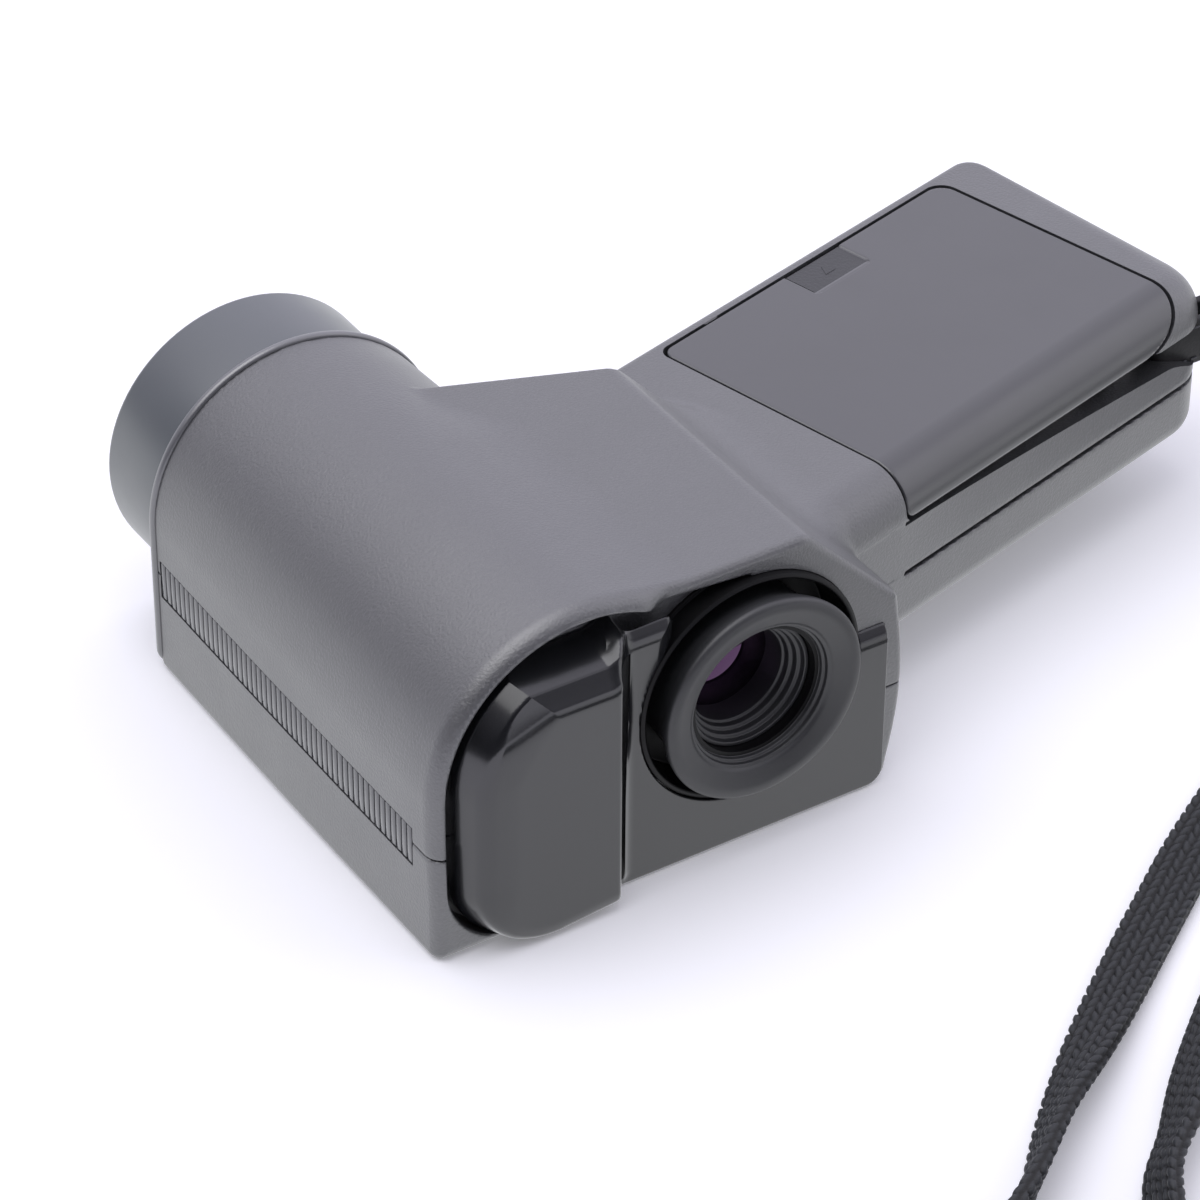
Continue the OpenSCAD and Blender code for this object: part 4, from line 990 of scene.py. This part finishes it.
# The skirt slides behind the slot and keeps it closed
softened("slide_switch", "power_switch", button_abs, "power_switch", 0.3,
         skirt=((5.6, 17.4, 0.3), (58, 16.2, 2.6)))
softened("measuring_button", "trigger", button_abs, "trigger", 0.6)
softened("machine_screws", "case_screws", steel, "body", 0.15)

# %% [markdown]
# ## Return spring
# The spring behind the measuring button is wound from hard steel wire. One end rests on
# the switch inside and the button's flange pushes the other, so its coils close up as the
# button goes in. Here it is a copy of the CAD solid that rides on no body.

# %% Return spring
spring = piece("return_spring", cad_copy("trigger_spring"), steel, None, ["trigger_spring"], sharp=None)
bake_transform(spring)

# %% [markdown]
# ## Marks on the keys
# Plain signs stand a little proud of the keys: arrows for up and down, a dot for store, and
# bars and a square for the others.

# %% Marks
SIGNS = {"mode": (4, 45, 1, 1), "speed": (4, 45, 0.35, 1.3), "up": (3, 0, 1, 1), "down": (3, 180, 1, 1),
         "memory": (24, 0, 0.7, 0.7), "clear": (4, 45, 1.3, 0.35)}
for key, (corners, turn, wide, tall) in SIGNS.items():
    sign = bmesh.new()
    bmesh.ops.create_circle(sign, cap_ends=True, radius=1.3, segments=corners)
    bmesh.ops.rotate(sign, matrix=Matrix.Rotation(math.radians(turn), 3, "Z"), verts=sign.verts)
    bmesh.ops.scale(sign, vec=(wide, tall, 1), verts=sign.verts)
    thicken(sign, (0, 0, 0.2))
    centre = sum((Vector(c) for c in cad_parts[key + "_key"].bound_box), Vector()) / 8 / MM + MIDDLE
    bmesh.ops.translate(sign, vec=(centre.x, centre.y, 0.34), verts=sign.verts)
    piece(key + "_sign", sign, sign_paint, key + "_key")

# %% [markdown]
# ## Display
# A liquid crystal display darkens strips of a thin film: seven make a figure, and a row of
# ticks makes a scale. They lie on the panel behind the clear window, and read from outside
# with the lens to the left and the grip down.

# %% Figures
STROKES = {"top": (0, 1, 0), "middle": (0, 0, 0), "bottom": (0, -1, 0), "upper left": (-1, 0.5, 1),
           "upper right": (1, 0.5, 1), "lower left": (-1, -0.5, 1), "lower right": (1, -0.5, 1)}
UNLIT = {"1": ("top", "middle", "bottom", "upper left", "lower left"), "2": ("upper left", "lower right"),
         "5": ("upper right", "lower left"), "6": ("upper right",)}
figures = bmesh.new()


def stroke(y, x, wide, tall):
    add_bar(figures, (tall, wide, 0.1), (x, y, 1.98))


for text, middle_x, half, first in (("125", 16.0, 1.5, 24.5), ("56", 16.0, 2.4, 46.0)):
    for k, figure in enumerate(text):
        for name, (right, up, upright) in STROKES.items():
            if name not in UNLIT[figure]:
                stroke(first - 3.1 * half * k - half * right, middle_x - 1.6 * half * up,
                       0.5 if upright else 1.6 * half, 1.35 * half if upright else 0.5)
for k in range(17):
    stroke(53 - 2.25 * k, 26.0, 0.35, 2.4 if k % 4 == 0 else 1.3)
piece("display_figures", figures, lcd_ink, "body")

# %% [markdown]
# ## Tripod bush
# A turned brass bush with a coarse thread. The thread is drawn as rings, which look the
# same as a real helix at this size.

# %% Bush
bush_rings = [(2.75 + 0.42 * (k % 2), 69.9 + 0.6 * k, 0) for k in range(11)]
bush = lathe([(0, 69.5, 0), (2.75, 69.5, 0), *bush_rings, (3.4, 76.4, 0), (4.6, 76.4, 0.2), (4.95, 76.1, 0.2),
              (4.95, 68.1, 0), (0, 68.1, 0)], (0, 27), steps=48)
to_grip(bush, turn=-math.pi / 2, w=-15)
piece("threaded_bush", bush, brass, "body", ["tripod_bush"])

# %% [markdown]
# ## Leather end of the strap
# A strip of black leather is folded round the pin in the grip's pocket, and both ends of
# the strap are sewn into it. The fold is a closed loop of leather, seen from above, that is
# raised to the strap's width and rounded along its edges. The thread shows as short stitches.


# %% Leather end
PIN_X, PIN_Y, TAB_LOW, TAB_WIDE = 143.2, 35.5, 21.1, 7.5


def fold_loop(r, end):
    """Points round the pin and along both sides to the end, seen from above."""
    arc = [(PIN_X - r * math.sin(a), PIN_Y + r * math.cos(a)) for a in np.linspace(0, math.pi, 17)]
    reach = np.linspace(PIN_X, end, 9)
    return [(x, y, TAB_LOW) for x, y in
            arc + [(x, PIN_Y - r) for x in reach[1:]] + [(x, PIN_Y + r) for x in reach[:0:-1]]]


tab = bmesh.new()
flat_band(tab, [fold_loop(2.65, 159.2), fold_loop(1.3, 158.6)])
thicken(tab, (0, 0, TAB_WIDE))
round_edges(tab, [e for e in tab.edges if e.calc_face_angle(0) > 1.2], 0.35, 3)
piece("leather_end", tab, leather, "body", ["strap_eye"])
stitches = bmesh.new()
for side in (-1, 1):
    for row in (22.2, 27.5):
        for k in range(7):
            add_bar(stitches, (1.2, 0.3, 0.3), (146.5 + 1.9 * k, PIN_Y + 2.68 * side, row))
round_edges(stitches, stitches.edges[:], 0.1, 2)
piece("leather_stitches", stitches, thread, "body")

# %% [markdown]

# %% [markdown]
# ## Stage and light
# A white table in a light tent: bright overhead and behind the meter, dim on the
# photographer's side. A large soft light hangs above, a little to the left, and a weak one
# fills from the right. The table looks white to the camera and keeps the shadow. Where the
# meter mirrors it, it is dimmer towards the photographer, who stands in the light there.


# %% Stage
def seen_straight(tree):
    """1 for what the camera sees, also through glass."""
    rays = add(tree, "LightPath").outputs
    return add(tree, "Math", {0: rays["Is Camera Ray"], 1: rays["Is Transmission Ray"]}, operation="MAXIMUM")


floor_mesh = bpy.data.meshes.new("table")
ground = bmesh.new()
bmesh.ops.create_grid(ground, x_segments=1, y_segments=1, size=3.0)
ground.to_mesh(floor_mesh)
ground.free()
white, tree = blank("white_table")
paper = add(tree, "BsdfDiffuse", {"Color": linear("#fafaff")})
glow = add(tree, "Emission", {"Color": linear("#fafbff"), "Strength": 1.0})
place = add(tree, "TexCoord").outputs["Object"]
towards = add(tree, "VectorMath", {0: place, 1: (-0.75, -0.66, 0)}, operation="DOT_PRODUCT").outputs["Value"]
dim = add(tree, "MapRange", {"Value": towards, "From Min": 0.055, "From Max": 0.15, "To Min": 0.9, "To Max": 0.25})
glossy = add(tree, "LightPath").outputs["Is Glossy Ray"]
mirrored = add(tree, "Math", {0: glossy, 1: dim}, operation="MULTIPLY")
cover = add(tree, "MixShader", {0: mirrored, 1: paper, 2: glow})
boost = add(tree, "Math", {0: seen_straight(tree), 1: 0.14}, operation="MULTIPLY")
shine = add(tree, "Emission", {"Color": (1, 1, 1, 1), "Strength": boost})
add(tree, "OutputMaterial", {"Surface": add(tree, "AddShader", {0: cover, 1: shine})})
floor_mesh.materials.append(white)
put(floor_mesh)

world = bpy.data.worlds.new("studio")
bpy.context.scene.world = world
world.use_nodes = True
tree = world.node_tree
tree.nodes.clear()
# The room is dim on the photographer's side and bright overhead and behind the meter
way = add(tree, "TexCoord").outputs["Generated"]
facing = add(tree, "VectorMath", {0: way, 1: (0.55, 0.5, 0.67)}, operation="DOT_PRODUCT").outputs["Value"]
room = add(tree, "MapRange", {"Value": facing, "From Min": -0.5, "From Max": 1.0, "To Min": 0.04, "To Max": 1.12})
clear = seen_straight(tree)
power = add(tree, "MapRange", {"Value": clear, "To Min": room, "To Max": 1.0})
tint = add(tree, "Mix", {"Factor": clear, "A": linear("#f2f0ff"), "B": (1, 1, 1, 1)}, data_type="RGBA")
sky = add(tree, "Background", {"Color": tint.outputs["Result"], "Strength": power})
add(tree, "OutputWorld", {"Surface": sky})


def softbox(name, where, target, size, watts):
    light = bpy.data.lights.new(name, "AREA")
    light.shape, light.size, light.energy = "SQUARE", size, watts
    obj = put(light)
    obj.location = where
    obj.rotation_euler = (Vector(target) - Vector(where)).to_track_quat("-Z", "Y").to_euler()


softbox("key_light", (-0.45, 0.08, 1.16), (0, 0, 0.02), 1.3, 8.6)
softbox("fill_light", (0.8, -0.4, 0.5), (0, 0, 0.02), 0.8, 0.9)
bpy.context.scene.view_settings.view_transform = "Standard"
print("stage set")
